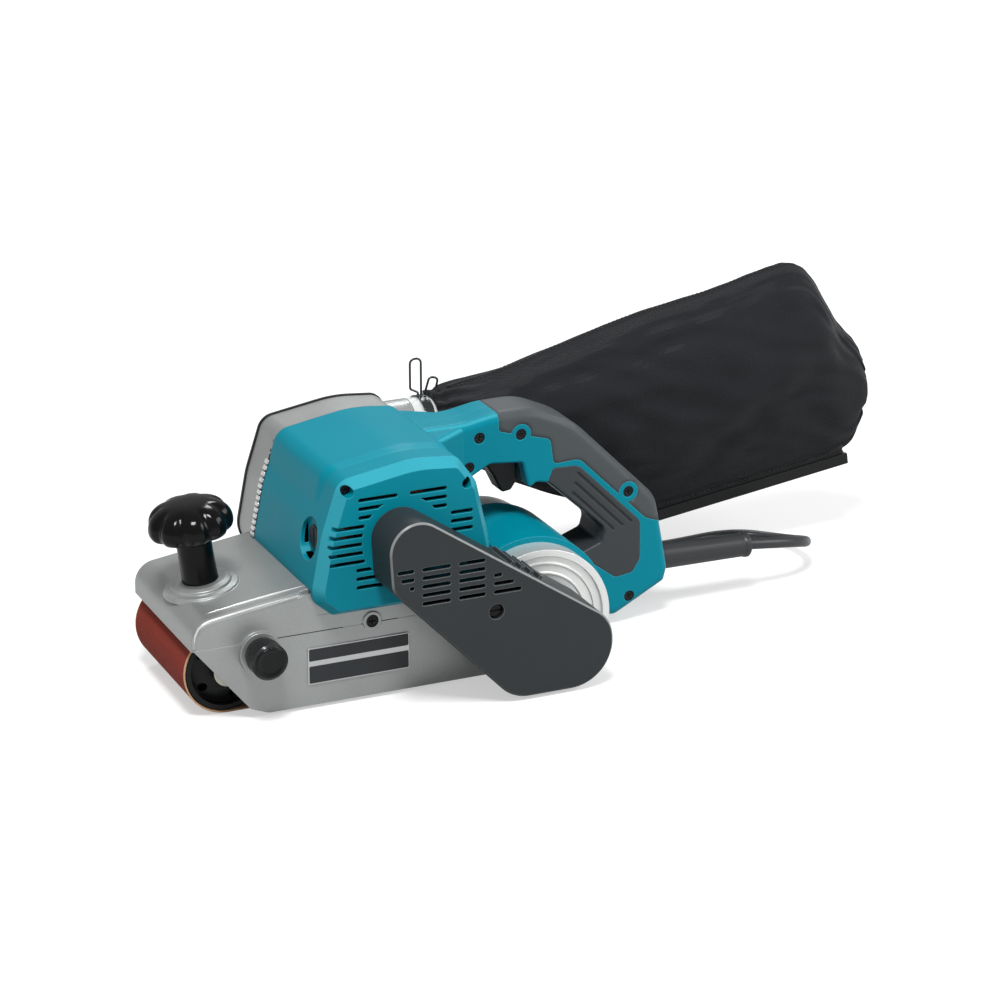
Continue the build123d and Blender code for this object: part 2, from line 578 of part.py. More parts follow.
def build_motor():
    """Stator, armature, brushes, bearings and the two fans."""
    stator = tube(MOTOR_X, MOTOR_Z, STATOR_R, STATOR_BORE, *STATOR_Y)
    for side in (-1, 1):
        flat = block((-60, 60), (STATOR_Y[0] - 1, STATOR_Y[1] + 1), (34.5, 60))
        stator -= Pos(MOTOR_X, 0, MOTOR_Z) * Rot(0, 90 + 90 * side, 0) * flat
        pocket = slab(outline([(-20, 27.2, 1), (20, 27.2, 1), (15, 31.5, 1), (-15, 31.5, 1)]),
                      STATOR_Y[0] - 1, STATOR_Y[1] + 1)
        stator -= Pos(MOTOR_X, 0, MOTOR_Z) * Rot(0, 90 + 90 * side, 0) * pocket
    save("stator", stator)
    coils = []
    for side in (-1, 1):
        for low, high in ((STATOR_Y[0] - 10, STATOR_Y[0]), (STATOR_Y[1], STATOR_Y[1] + 7)):
            arc = tube(MOTOR_X, MOTOR_Z, 37, 28, low, high)
            keep = block((MOTOR_X - 40, MOTOR_X + 40), (low, high), (MOTOR_Z + 9, MOTOR_Z + 40))
            coils.append(arc & (Pos(MOTOR_X, 0, MOTOR_Z) * Rot(0, 90 + 90 * side, 0)
                                * Pos(-MOTOR_X, 0, -MOTOR_Z) * keep))
    save("field_coils", Compound(children=coils))

    core = rod(MOTOR_X, MOTOR_Z, ARMATURE_R, STATOR_Y[0] + 1, STATOR_Y[1] - 1)
    for x, z in ring_places(12, ARMATURE_R, MOTOR_X, MOTOR_Z):
        core -= rod(x, z, 1.6, STATOR_Y[0], STATOR_Y[1])
    core += rod(MOTOR_X, MOTOR_Z, 20, STATOR_Y[0] - 7, STATOR_Y[1] + 5)
    core += rod(MOTOR_X, MOTOR_Z, SHAFT_R, PULLEY_Y[0] - 2, FAN_FACE - 4)
    save("armature", core)
    commutator = tube(MOTOR_X, MOTOR_Z, 14, SHAFT_R, BRUSH_Y - 8, BRUSH_Y + 8)
    for x, z in ring_places(24, 14, MOTOR_X, MOTOR_Z):
        commutator -= rod(x, z, 0.35, BRUSH_Y - 9, BRUSH_Y + 7)
    save("commutator", commutator)
    save("motor_pulley", pulley(MOTOR_X, MOTOR_Z, MOTOR_PULLEY_R, SHAFT_R))
    save("dust_fan", impeller(44, FAN_WEB[1] + 0.8, FAN_FACE - 3.5, 1.8, 14))
    save("cooling_fan", impeller(34, SPLIT_Y + 1, FAN_WEB[0] - 0.8, 1.6, 16))
    rings = [bearing(MOTOR_X, MOTOR_Z, MOTOR_BEARING_R, SHAFT_R + FIT, y) for y in MOTOR_BEARINGS_Y]
    save("motor_bearings", Compound(children=rings))

    brushes, holders, caps = [], [], []
    for side, outer in ((-1, MOTOR_X + 44.5), (1, 52.0)):
        turn = Pos(MOTOR_X, BRUSH_Y, BRUSH_Z) * Rot(0, 0, 90 - 90 * side)
        a, b = BRUSH_HALF
        brushes.append(turn * block((14.3, 30), (-a, a), (-b, b)))
        holder = block((18, outer - 6), (-a - 1.2, a + 1.2), (-b - 1.2, b + 1.2))
        holders.append(turn * (holder - block((17, 60), (-a - FIT, a + FIT), (-b - FIT, b + FIT))))
        cap = rod_x(0, 0, CAP_R, outer - 6, outer) - block((outer - 1.5, outer + 1), (-1, 1), (-7, 7))
        caps.append(turn * cap)
    save("carbon_brushes", Compound(children=brushes))
    save("brush_holders", Compound(children=holders))
    save("brush_caps", Compound(children=caps))


def impeller(radius, low, high, sheet, blades):
    """Fan wheel with radial blades on a back plate."""
    wheel = rod(MOTOR_X, MOTOR_Z, radius, low, low + sheet) + rod(MOTOR_X, MOTOR_Z, 9, low, high)
    blade = block((8, radius - 1), (low, high), (-sheet / 2, sheet / 2))
    for i in range(blades):
        wheel += Pos(MOTOR_X, 0, MOTOR_Z) * Rot(0, 360 * i / blades, 0) * blade
    return wheel - rod(MOTOR_X, MOTOR_Z, SHAFT_R, low - 1, high + 1)


# ---- housings -------------------------------------------------------------------------------------

def nose_block(y_from, y_to):
    """Space that the nose takes up in front of the housings."""
    return slab(outline([
        (PIN_X, 60.0, 0),
        (PIN_X, nose_top(PIN_X), 0),
        (NOSE_END, nose_top(NOSE_END), 0),
        (NOSE_END, 60.0, 0),
    ]), y_from, y_to)


def motor_solid():
    """Outer form of the motor housing, bevelled round its left face."""
    face = outline(HOUSING_OUTLINE)
    body = slab(face, PANEL_EDGE, SPLIT_Y)
    body += Pos(0, PANEL_EDGE, 0) * extrude(face, amount=PANEL_EDGE - PANEL_FACE, dir=(0, -1, 0), taper=PANEL_TAPER)
    body -= nose_block(WALL_FACE, SPLIT_Y + 1)
    body -= rod(DUCT_X, DUCT_Z, DUCT_R, -90, 60)
    body -= block((DECK_END - 8, 90), (-90, 60), (50, DECK_TOP + 12))
    return body


def cross_head(x, z, radius, y):
    """Screw whose head with a cross recess faces -Y at a level."""
    screw = rod(x, z, radius, y, y + 1.9) + rod(x, z, radius / 2, y + 1, y + 12)
    for across, up in ((radius * 0.6, 0.5), (0.5, radius * 0.6)):
        screw -= block((x - across, x + across), (y - 1, y + 1.2), (z - up, z + up))
    return screw


def vent_rows(count, top, z_pitch, columns, y_from, y_to):
    """Slots in rows; a column is (first row, last row, x from, x to)."""
    slots = []
    for row in range(count):
        z = top - row * z_pitch
        for first, last, x0, x1 in columns:
            if first <= row <= last:
                slot = Pos((x0 + x1) / 2, z) * SlotOverall(x1 - x0, VENT_HEIGHT)
                slots.append(slab(Plane.XZ * slot, y_from, y_to))
    return Compound(children=slots)


def build_motor_housing():
    """Teal shell round the motor, with its vents and brush recesses."""
    body = motor_solid()
    room = offset(outline(HOUSING_OUTLINE), -SHELL)
    front = block((-70, NOSE_END + SHELL), (PANEL_EDGE, SPLIT_Y + 2), (50, nose_top(NOSE_END) + SHELL))
    shell = body - (slab(room, PANEL_EDGE + 2, SPLIT_Y + 1) - front)
    neck = offset(outline(HOUSING_OUTLINE), -SHELL - 8)
    shell -= slab(neck, PANEL_FACE + SHELL, PANEL_EDGE + 3)
    shell += rod(DUCT_X, DUCT_Z, DUCT_R + SHELL, PANEL_EDGE, SPLIT_Y) & (body)
    for low, high in MOTOR_BEARINGS_Y:
        shell += rod(MOTOR_X, MOTOR_Z, MOTOR_BEARING_R + 3, low, high)
        shell -= rod(MOTOR_X, MOTOR_Z, MOTOR_BEARING_R, low, high)
    low, high = MOTOR_BEARINGS_Y[1]
    shell += slab(room, high - 3, high) - front - rod(MOTOR_X, MOTOR_Z, MOTOR_BEARING_R, 0, 60) - air_holes(high)
    shell -= rod(MOTOR_X, MOTOR_Z, SHAFT_R + 3, PANEL_FACE - 1, PANEL_FACE + 8)
    shell += tube(MOTOR_X, MOTOR_Z, STATOR_R + 3, STATOR_R, STATOR_Y[1] - 8, STATOR_Y[1]) & (body)
    for angle in (0, 90):
        rib = block((-60, 60), (STATOR_Y[1] - 8, STATOR_Y[1]), (-3, 3))
        rib = Pos(MOTOR_X, 0, MOTOR_Z) * Rot(0, angle, 0) * rib
        shell += (rib & body) - rod(MOTOR_X, MOTOR_Z, STATOR_R, 0, SPLIT_Y)
    for x_end in (-60, 60):
        bore = rod_x(BRUSH_Y, BRUSH_Z, CAP_R, min(x_end, 0), max(x_end, 0))
        wall = block((-50, -36) if x_end < 0 else (52, 66), (BRUSH_Y - 12, BRUSH_Y + 12), (BRUSH_Z - 12, BRUSH_Z + 12))
        shell += (wall & body)
        shell -= bore
    shell -= rod_x(BRUSH_Y, BRUSH_Z, RECESS_R, -60, MOTOR_X - 44.5 - 6)
    columns = [(0, 2, -24, 3.7), (3, 7, -44.5, -19.5), (8, 10, -26.0, -6.3), (0, 2, 12.2, 38.5), (3, 5, 41, 57)]
    vents = vent_rows(11, 145.6, VENT_PITCH, columns, PANEL_FACE - 1, PANEL_FACE + SHELL + 1)
    shell -= vents - rod(MOTOR_X, MOTOR_Z, 28.5, PANEL_FACE - 2, PANEL_EDGE)
    shell -= rod(COVER_SCREW[0], COVER_SCREW[1], COVER_SCREW_R, PANEL_FACE - 1, WALL_FACE + 8)
    heads = []
    for x, z in PANEL_SCREWS:
        shell += rod(x, z, 6.0, PANEL_FACE + 2, PANEL_EDGE + 12) & body
        shell -= rod(x, z, 3.7, PANEL_FACE - 1, PANEL_EDGE + 0.3)
        shell -= rod(x, z, 1.9, PANEL_FACE, PANEL_EDGE + 13)
        heads.append(cross_head(x, z, 3.4, PANEL_EDGE - 1.6))
    save("motor_housing", shell)
    save("panel_screws", Compound(children=heads))


def air_holes(y):
    """Ring of air holes through the bearing bridge."""
    return Compound(children=[rod(x, z, 7, y - 5, y + 5) for x, z in ring_places(8, 27, MOTOR_X, MOTOR_Z)])


def build_fan_housing():
    """Cast scroll round the dust fan, with its outlet, and its end cover."""
    face = outline(HOUSING_OUTLINE)
    outer = slab(face, SPLIT_Y, FAN_FACE) - rod(DUCT_X, DUCT_Z, DUCT_R, 0, 90)
    outer -= slab(offset(face, -SHELL), FAN_WEB[1], FAN_FACE + 1)
    outer -= slab(offset(face, -SHELL - 2), SPLIT_Y - 1, FAN_WEB[0])
    outer -= rod(MOTOR_X, MOTOR_Z, 12, SPLIT_Y, FAN_FACE)
    outer -= nose_block(SPLIT_Y - 1, NOSE_RIGHT)
    for i in range(10):
        z = 89 + 6.6 * i
        outer -= block((-60, -36), (SPLIT_Y - 1, SPLIT_Y + 2.5), (z, z + 3.2))
    outer += rod_x(NOZZLE_Y, NOZZLE_Z, NOZZLE_R, 40, NOZZLE_X[0] - AIR) - slab(offset(face, -SHELL), 40, 100)
    outer += rod_x(NOZZLE_Y, NOZZLE_Z, SPIGOT_R, NOZZLE_X[0] - 1, NOZZLE_X[0] + 13)
    outer -= rod_x(NOZZLE_Y, NOZZLE_Z, SPIGOT_R - 2, 40, NOZZLE_X[0] + 14)
    save("fan_housing", outer)
    cover = slab(offset(face, 0.8), FAN_FACE, FAN_COVER_FACE) - rod(DUCT_X, DUCT_Z, DUCT_R, 0, 90)
    cover -= rod_x(NOZZLE_Y, NOZZLE_Z, NOZZLE_R, 40, 90)
    save("fan_cover", cover)


def build_rear_housing():
    """Round duct that catches the dust behind the drive roller."""
    low, high = DUCT_Y
    body = rod(DUCT_X, DUCT_Z, DUCT_R, low, high)
    body -= rod(DUCT_X, DUCT_Z, DUCT_R - SHELL, low + 4, high - SHELL)
    body -= rod(DUCT_X, DUCT_Z, DUCT_R - 5, low - 1, low + 2.2)
    for radius in (43.0, 36.0):
        body += tube(DUCT_X, DUCT_Z, radius, radius - 1.6, low + 1.2, low + 3)
    body -= block((0, DECK_END), (-80, 80), (-30, 100))
    body -= block((0, 200), (-80, 80), (-40, 4))
    belt_way = belt_face(0, AXIS_Z, 34, REAR_X, AXIS_Z, 34)
    body -= slab(belt_way, WALL_INSIDE - 1, high + 1)
    for face in (outline(PLATE_OUTLINE), outline(INNER_WALL)):
        body -= slab(offset(face, AIR), low - 1, WALL_INSIDE + AIR)
    body -= slab(outline(COVER_OUTLINE), COVER_FACE, WALL_FACE + 1)
    return body


def build_cover():
    """Hollow drive-belt cover with its vents and screw."""
    face = outline(COVER_OUTLINE)
    cover = slab(face, COVER_FACE, WALL_FACE)
    cover = chamfer(cover.faces().sort_by(Axis.Y)[0].edges(), 1.2)
    cover -= slab(offset(face, -COVER_WALL), COVER_FACE + COVER_WALL, WALL_FACE + 1)
    x, z = COVER_SCREW
    cover += rod(x, z, 8, COVER_FACE + 0.5, WALL_FACE)
    cover -= rod(x, z, 5.4, COVER_FACE - 1, COVER_FACE + 6)
    cover -= rod(x, z, COVER_SCREW_R, COVER_FACE - 1, WALL_FACE + 1)
    columns = [
        (0, 0, -10.7, 1.2), (1, 1, -8.1, 1.2), (2, 2, -2.2, 1.2), (0, 4, 6.6, 26.8), (0, 4, 32.4, 51.5),
        (2, 2, 57.3, 63.2), (3, 3, 57.3, 71.7), (4, 4, 57.3, 77.2),
    ]
    cover -= vent_rows(5, 104.6, 5.95, columns, COVER_FACE - 1, COVER_FACE + COVER_WALL + 1)
    (x0, z0, _), (x1, z1, _) = COVER_OUTLINE[0], COVER_OUTLINE[-1]
    slope = math.degrees(math.atan2(z0 - z1, x1 - x0))
    for i in range(4):
        share = (71 + 6.6 * i - x0) / (x1 - x0)
        fin = block((-1.2, 1.2), (COVER_FACE + 2, PANEL_FACE - 1), (-2, 3.2))
        cover += Pos(x0 + share * (x1 - x0), 0, z0 + share * (z1 - z0)) * Rot(0, slope, 0) * fin
    cover -= motor_solid()
    save("belt_cover", cover)
    screw = rod(x, z, 4.6, COVER_FACE + 2.5, COVER_FACE + 6) + rod(x, z, COVER_SCREW_R, COVER_FACE + 5, WALL_FACE + 6)
    slot = block((x - 5, x + 5), (COVER_FACE + 2, COVER_FACE + 3.7), (z - 0.6, z + 0.6))
    save("cover_screw", screw - slot)


# ---- handle ---------------------------------------------------------------------------------------


def on_outside(edge):
    """Whether an edge of the handle's side face lies outside the duct, where the hand can reach it."""
    middle = edge @ 0.5
    return math.dist((middle.X, middle.Z), (DUCT_X, DUCT_Z)) > HOOD_R + 3 and middle.X > 72


def near_wire(edge, wire):
    """Whether an edge of the handle's side face follows a wire of the side view."""
    middle = edge @ 0.5
    flat = abs(abs(middle.Y) - HANDLE_HALF) < 0.01
    return flat and wire.distance_to(Vector(middle.X, 0, middle.Z)) < 0.01


def bar_face(margin):
    """Side view of the handle, drawn in by a margin all round."""
    if not margin:
        return outline(HANDLE_OUTLINE) - outline(HAND_OPENING)
    return offset(outline(HANDLE_OUTLINE), -margin) - offset(outline(HAND_OPENING), margin)


def hood():
    """Curved hood over the top of the duct."""
    ring = tube(DUCT_X, DUCT_Z, HOOD_R, DUCT_R, *HOOD_Y)
    ring &= block((DUCT_X - 24, 200), (-60, 60), (DUCT_Z + 18, 100))
    return ring - slab(outline(COVER_OUTLINE), COVER_FACE, WALL_FACE + 1)


def neck_flare():
    """Web that widens the handle's neck where it meets the motor housing."""
    plan = make_face(Polyline((45, -36), (55, -34), (84, -14), (84, 14), (55, 34), (45, 36), close=True))
    web = Pos(0, 0, 130) * extrude(plan, amount=32.5)
    corners = [e for e in web.edges() if (e @ 0.5).Z > 162 and abs(abs((e @ 0.5).Y) - 24) < 1]
    return fillet(corners, 4) & slab(outline([(45, 129, 0), (45, 170, 0), (90, 170, 0), (82, 134, 0)]), -40, 40)


def handle_solid():
    """Outer form of the handle, rounded for the hand."""
    solid = slab(bar_face(0), -HANDLE_HALF, HANDLE_HALF)
    rims = [e for e in solid.edges() if abs(abs((e @ 0.5).Y) - HANDLE_HALF) < 0.01 and on_outside(e)]
    opening = outline(HAND_OPENING).face().outer_wire()
    inner = [e for e in rims if near_wire(e, opening)]
    solid = fillet([e for e in rims if e not in inner], HANDLE_ROUND)
    inner = [e for e in solid.edges() if near_wire(e, opening) and on_outside(e)]
    solid = fillet(inner, OPENING_ROUND)
    return solid + neck_flare() - slab(outline(HOUSING_OUTLINE), -90, 90)


def trigger_body(margin=0.0):
    """Trigger at rest, optionally grown all round to cut its pocket."""
    half = TRIGGER_HALF + margin
    return slab(offset(outline(TRIGGER_OUTLINE), margin) if margin else outline(TRIGGER_OUTLINE), -half, half)


def swung(shape, angle):
    """A shape turned about the trigger's pivot, pressed for positive angles."""
    x, z = TRIGGER_PIVOT
    return Pos(x, 0, z) * Rot(0, -angle, 0) * Pos(-x, 0, -z) * shape


def build_handle():
    """Two shells of the handle with hood, soft grips, trigger, lock button and switch."""
    solid = handle_solid()
    skin = solid - slab(bar_face(GRIP_SKIN), GRIP_SKIN - HANDLE_HALF, HANDLE_HALF - GRIP_SKIN)
    collars = Compound(children=[rod(x, z, COLLAR_R, -HANDLE_HALF - 1, 0) for x, z in HANDLE_SCREWS])
    rear_grip = skin & slab(outline(REAR_GRIP), -30, 30) - collars
    top_grip = skin & slab(outline(TOP_GRIP), -30, 30) - collars
    cavity = GRIP_SKIN + SHELL
    half_room = HANDLE_HALF - cavity
    room = slab(bar_face(cavity), -half_room, half_room)
    for x, z in HANDLE_SCREWS:
        room -= rod(x, z, 5.5, -30, 30)
    room -= tube(DUCT_X, DUCT_Z, DUCT_R + SHELL, DUCT_R - 5, -30, 30)
    body = solid + hood() - rear_grip - top_grip - room
    body -= rod(DUCT_X, DUCT_Z, DUCT_R, HOOD_Y[0] - 1, HOOD_Y[1] + 1)
    for angle in range(0, TRIGGER_SWING + 3, 2):
        body -= swung(trigger_body(0.4), angle)
    x, z = TRIGGER_PIVOT
    body += rod(x, z, 2.5, -HANDLE_HALF + 3, HANDLE_HALF - 3)
    body -= rod(LOCK_X, LOCK_Z, LOCK_R + FIT, 0, HANDLE_HALF + 1)
    body -= guard_body(0.0)
    for x, z in HANDLE_SCREWS:
        body -= rod(x, z, 4.0, -HANDLE_HALF - 1, -HANDLE_HALF + 3)
        body -= rod(x, z, 2.0, -HANDLE_HALF - 1, HANDLE_HALF - 4)
    for i in range(5):
        groove = Pos(183 - 4.4 * i, 97 - 4.4 * i) * Rot(0, 0, -45) * SlotOverall(60 - 7 * i, 1.7)
        for low, high in ((-30, 0.9 - HANDLE_HALF), (HANDLE_HALF - 0.9, 30)):
            rear_grip -= slab(Plane.XZ * groove, low, high)
    save("rear_grip", rear_grip)
    save("top_grip", top_grip)
    left = block((0, 300), (-100, 0), (-10, 250))
    save("handle_left", body & left)
    save("handle_right", body - left)
    heads = []
    for x, z in HANDLE_SCREWS:
        head = rod(x, z, 3.8, 0.6 - HANDLE_HALF, 3 - HANDLE_HALF) + rod(x, z, 1.9, 2 - HANDLE_HALF, 8)
        heads.append(head - block((x - 2.4, x + 2.4), (-20, 1.8 - HANDLE_HALF), (z - 0.5, z + 0.5))
                     - block((x - 0.5, x + 0.5), (-20, 1.8 - HANDLE_HALF), (z - 2.4, z + 2.4)))
    save("handle_screws", Compound(children=heads))
    lever = fillet(trigger_body().edges().filter_by(lambda e: abs(abs((e @ 0.5).Y) - TRIGGER_HALF) < 0.01), 1.5)
    save("trigger", lever - rod(*TRIGGER_PIVOT, 2.5 + FIT, -20, 20))
    button = rod(LOCK_X, LOCK_Z, LOCK_R, 9, HANDLE_HALF + LOCK_TRAVEL + 0.8)
    save("lock_button", button)
    switch = block((126, 142), (-half_room, half_room), (143, 155))
    save("switch_body", switch)


# ---- cord and guard -------------------------------------------------------------------------------

def guard_body(bore):
    """Flexible sleeve where the cord leaves the handle, with a collar held by the shells."""
    start, end = GUARD_X
    length = end - start
    profile = [
        (bore, 0), (13, 0), (13, 4), (9.6, 4), (9.4, 20), (8.4, length - 8), (8.4, length - 5),
        (9.0, length - 3.5), (9.0, length - 1), (8.2, length), (bore, length),
    ]
    drop = math.degrees(math.atan2(GUARD_Z[0] - GUARD_Z[1], length))
    return Pos(start, 0, GUARD_Z[0]) * Rot(0, 90 + drop, 0) * lathe(profile)


CORD_ROUTE = [
    (GUARD_X[1], 0.0, GUARD_Z[1]),
    (345.0, 0.5, 32.0),
    (375.0, 29.0, 17.5),
    (377.0, 71.0, CORD_Z),
    (347.0, 101.0, CORD_Z),
    (290.0, 95.0, CORD_Z),
    (232.0, 99.0, CORD_Z),
    (176.0, 92.0, CORD_Z),
    (124.0, COIL_Y - COIL_R, CORD_Z),
    (COIL_X + CORD_D, COIL_Y - COIL_R, CORD_Z),
]


def bend_radii(route):
    """Bend radius at each inner corner: the largest that leaves both runs a straight middle."""
    radii = []
    for before, corner, after in zip(route, route[1:], route[2:]):
        a, b, c = Vector(before), Vector(corner), Vector(after)
        turn = math.radians((b - a).get_angle(c - b))
        radii.append(0.45 * min((b - a).length, (c - b).length) / math.tan(turn / 2))
    return radii


def coil_points():
    """Points and directions of the piled loops: in on the floor, up half a turn, out on top."""
    inner = COIL_R - COIL_TURNS * COIL_PITCH
    halves = int(COIL_TURNS * 2)
    steps = [(COIL_R - i * COIL_PITCH / 2, CORD_Z) for i in range(halves + 1)]
    steps += [(inner + i * COIL_PITCH / 2, CORD_Z + COIL_RISE) for i in range(halves + 1)]
    for i, (radius, z) in enumerate(steps):
        side = -1 if i % 2 == 0 else 1
        yield Vector(COIL_X, COIL_Y + side * radius, z), Vector(side, 0, 0)


def biarc(p0, t0, p1, t1):
    """Two tangent arcs from one point and direction to another."""
    v = p1 - p0
    t = t0 + t1
    denominator = 2 * (1 - t0.dot(t1))
    if abs(denominator) < 1e-9:
        d = v.dot(v) / (4 * v.dot(t1))
    else:
        vt = v.dot(t)
        d = (-vt + math.sqrt(vt * vt + 2 * denominator / 2 * v.dot(v) * 1.0)) / denominator
    joint = (p0 + p1 + (t0 - t1) * d) * 0.5
    return joint


def build_cord():
    """Cord sleeve, the free cord, the coil on the floor and the plug."""
    save("cord_guard", guard_body(CORD_D / 2))
    path = FilletPolyline(*CORD_ROUTE, radius=bend_radii(CORD_ROUTE))
    cord = sweep(Plane(origin=path @ 0, z_dir=path % 0) * Circle(CORD_D / 2), path=path)
    print("bend radii", [round(r, 1) for r in bend_radii(CORD_ROUTE)])
    print("free cord length", round(path.length, 1), "volume ratio",
          round(cord.volume / (path.length * math.pi * CORD_D ** 2 / 4), 4))
    save("power_cord", cord)

    knots = list(coil_points())
    first, last = knots[0], knots[-1]
    edges = [Line(first[0] + Vector(CORD_D, 0, 0), first[0])]
    for (p0, t0), (p1, t1) in zip(knots, knots[1:]):
        quarter = quarter_point(p0, t0, p1, t1)
        edges.append(TangentArc(p0, quarter[0], tangent=t0))
        edges.append(TangentArc(quarter[0], p1, tangent=quarter[1]))
    edges.append(Line(last[0], last[0] + Vector(CORD_D, 0, 0)))
    path = Wire([e if isinstance(e, Edge) else e.edge() for e in edges])
    coil = sweep(Plane(origin=path @ 0, z_dir=path % 0) * Circle(CORD_D / 2), path=path)
    print("coil length", round(path.length, 1), "volume ratio",
          round(coil.volume / (path.length * math.pi * CORD_D ** 2 / 4), 4))
    save("cord_coil", coil)
    save("plug", plug(last[0] + Vector(CORD_D, 0, 0)))


def quarter_point(p0, t0, p1, t1):
    """Joint of the two arcs between two knots, and the direction there."""
    joint = biarc(p0, t0, p1, t1)
    chord = joint - p0
    direction = chord * (2 * t0.dot(chord) / chord.dot(chord)) - t0
    return joint, direction


def plug(start):
    """Two-pin plug with a long neck, leaning from the top of the coil down to the floor."""
    neck = Rot(0, 90, 0) * lathe([(0, 0), (4.5, 0), (6.5, 37), (0, 37)])
    body = fillet(block((36, 68), (-12, 12), (-8, 8)).edges().filter_by(Axis.X), 6)
    for side in (-1, 1):
        body += block((67, 85), (side * 6.35 - 3, side * 6.35 + 3), (-0.8, 0.8))
    lean = math.degrees(math.asin((start.Z - 8.2) / 68))
    return Pos(start.X, start.Y, start.Z) * Rot(0, lean, 0) * (neck + body)


# ---- dust bag -------------------------------------------------------------------------------------

BAG_SECTIONS = [
    (NOZZLE_X[1] - 17, 119.0, 162.0, NOZZLE_Y, 44.0),
    (104.0, 112.0, 164.0, 66.0, 48.0),
    (140.0, 90.0, 166.5, 72.0, 54.0),
    (190.0, 66.0, 178.5, BAG_Y, 57.0),
    (250.0, 46.5, 194.0, BAG_Y, 58.0),
    (310.0, 50.4, 204.5, BAG_Y, 58.0),
    (352.0, 56.2, 214.5, BAG_Y, 55.0),
    (374.0, 59.2, 217.0, BAG_Y, 50.0),
    (392.0, 61.7, 206.0, BAG_Y, 44.0),
    (415.0, 65.0, 169.5, BAG_Y, 34.0),
    (432.0, 72.0, 150.0, BAG_Y, 24.0),
    (440.0, 88.0, 134.0, BAG_Y, 16.0),
]


def bag_loft(inset):
    """Closed pillow through the bag's cross sections."""
    faces = []
    for x, low, high, y, thick in BAG_SECTIONS:
        oval = Ellipse(thick / 2 - inset, (high - low) / 2 - inset)
        faces.append(Plane(origin=(x, y, (low + high) / 2), x_dir=(0, 1, 0), z_dir=(1, 0, 0)) * oval)
    return loft(faces)


def along_rail(profile, start, end):
    """A YZ profile carried along the bag's lower edge between two distances from its front."""
    (x0, z0), (x1, z1) = RAIL_ENDS
    slope = math.degrees(math.atan2(z1 - z0, x1 - x0))
    place = Pos(x0, BAG_Y, z0) * Rot(0, -slope, 0)
    return place * Pos(start, 0, 0) * extrude(Plane.YZ * profile, amount=end - start)


def build_dust_bag():
    """Swivelling nozzle, the bag with its hem, the wire clip and the slide strip."""
    x0, x1 = NOZZLE_X
    nozzle = rod_x(NOZZLE_Y, NOZZLE_Z, NOZZLE_R, x0, x0 + 15) + rod_x(NOZZLE_Y, NOZZLE_Z, NOZZLE_R - 1.5, x0, x1)
    nozzle -= rod_x(NOZZLE_Y, NOZZLE_Z, SPIGOT_R + FIT, x0 - 1, x0 + 13 + AIR)
    nozzle -= rod_x(NOZZLE_Y, NOZZLE_Z, SPIGOT_R - 2, x0 - 1, x1 + 1)
    save("dust_nozzle", nozzle)

    bag = bag_loft(0)
    bag -= rod_x(NOZZLE_Y, NOZZLE_Z, NOZZLE_R - 1.5, x0, x1)
    hollow = bag_loft(BAG_CLOTH) & block((x1, 436), (0, 150), (20, 240))
    bag -= hollow
    length = math.dist(*RAIL_ENDS)
    hem = Rectangle(1.6, 12) + Pos(0, -4) * Circle(1.9)
    bag += along_rail(Pos(0, 3) * hem, 1, length - 1) - bag_loft(BAG_CLOTH / 2)
    save("dust_bag", bag)
    rail = Pos(0, -1) * (Rectangle(2 * RAIL_HALF, 8) - Circle(2.5)) - Pos(0, 2) * Rectangle(2.4, 6)
    save("bag_rail", along_rail(rail, 0, length))

    wire = 0.8
    clip = Pos(80.5, 0, 0) * (rod_x(NOZZLE_Y, NOZZLE_Z, NOZZLE_R + 1.2, -3.5, 3.5)
                              - rod_x(NOZZLE_Y, NOZZLE_Z, NOZZLE_R, -5, 5))
    top = NOZZLE_Z + NOZZLE_R
    for bends, places in (
        ([1.5, 2, 3.5, 3.5], ((77.8, 0.5), (77.8, 4), (72, 7), (72, 28.5), (80.2, 28.5), (80.2, 0.5))),
        ([2.5, 2.5], ((82.4, 0.8), (86.5, 14), (93, 12.5), (91.5, 6))),
    ):
        line = FilletPolyline(*[(x, NOZZLE_Y, top + rise) for x, rise in places], radius=bends)
        clip += sweep(Plane(origin=line @ 0, z_dir=line % 0) * Circle(wire), path=line)
    save("bag_clip", clip)


build_frame()
build_front_end()
build_front_knob()
build_drive()
build_motor()
build_motor_housing()
build_fan_housing()
save("rear_housing", build_rear_housing())
build_cover()
build_handle()
build_cord()
build_dust_bag()
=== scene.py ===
"""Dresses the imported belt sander: finishes for every rigid node, the cloth bag, the lead and the
small fittings, on a pale studio floor. Objects are made in metres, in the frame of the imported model."""

from __future__ import annotations

import logging
import math
from dataclasses import dataclass
from enum import Enum

import bmesh
import bpy
from mathutils import Matrix, Vector, noise

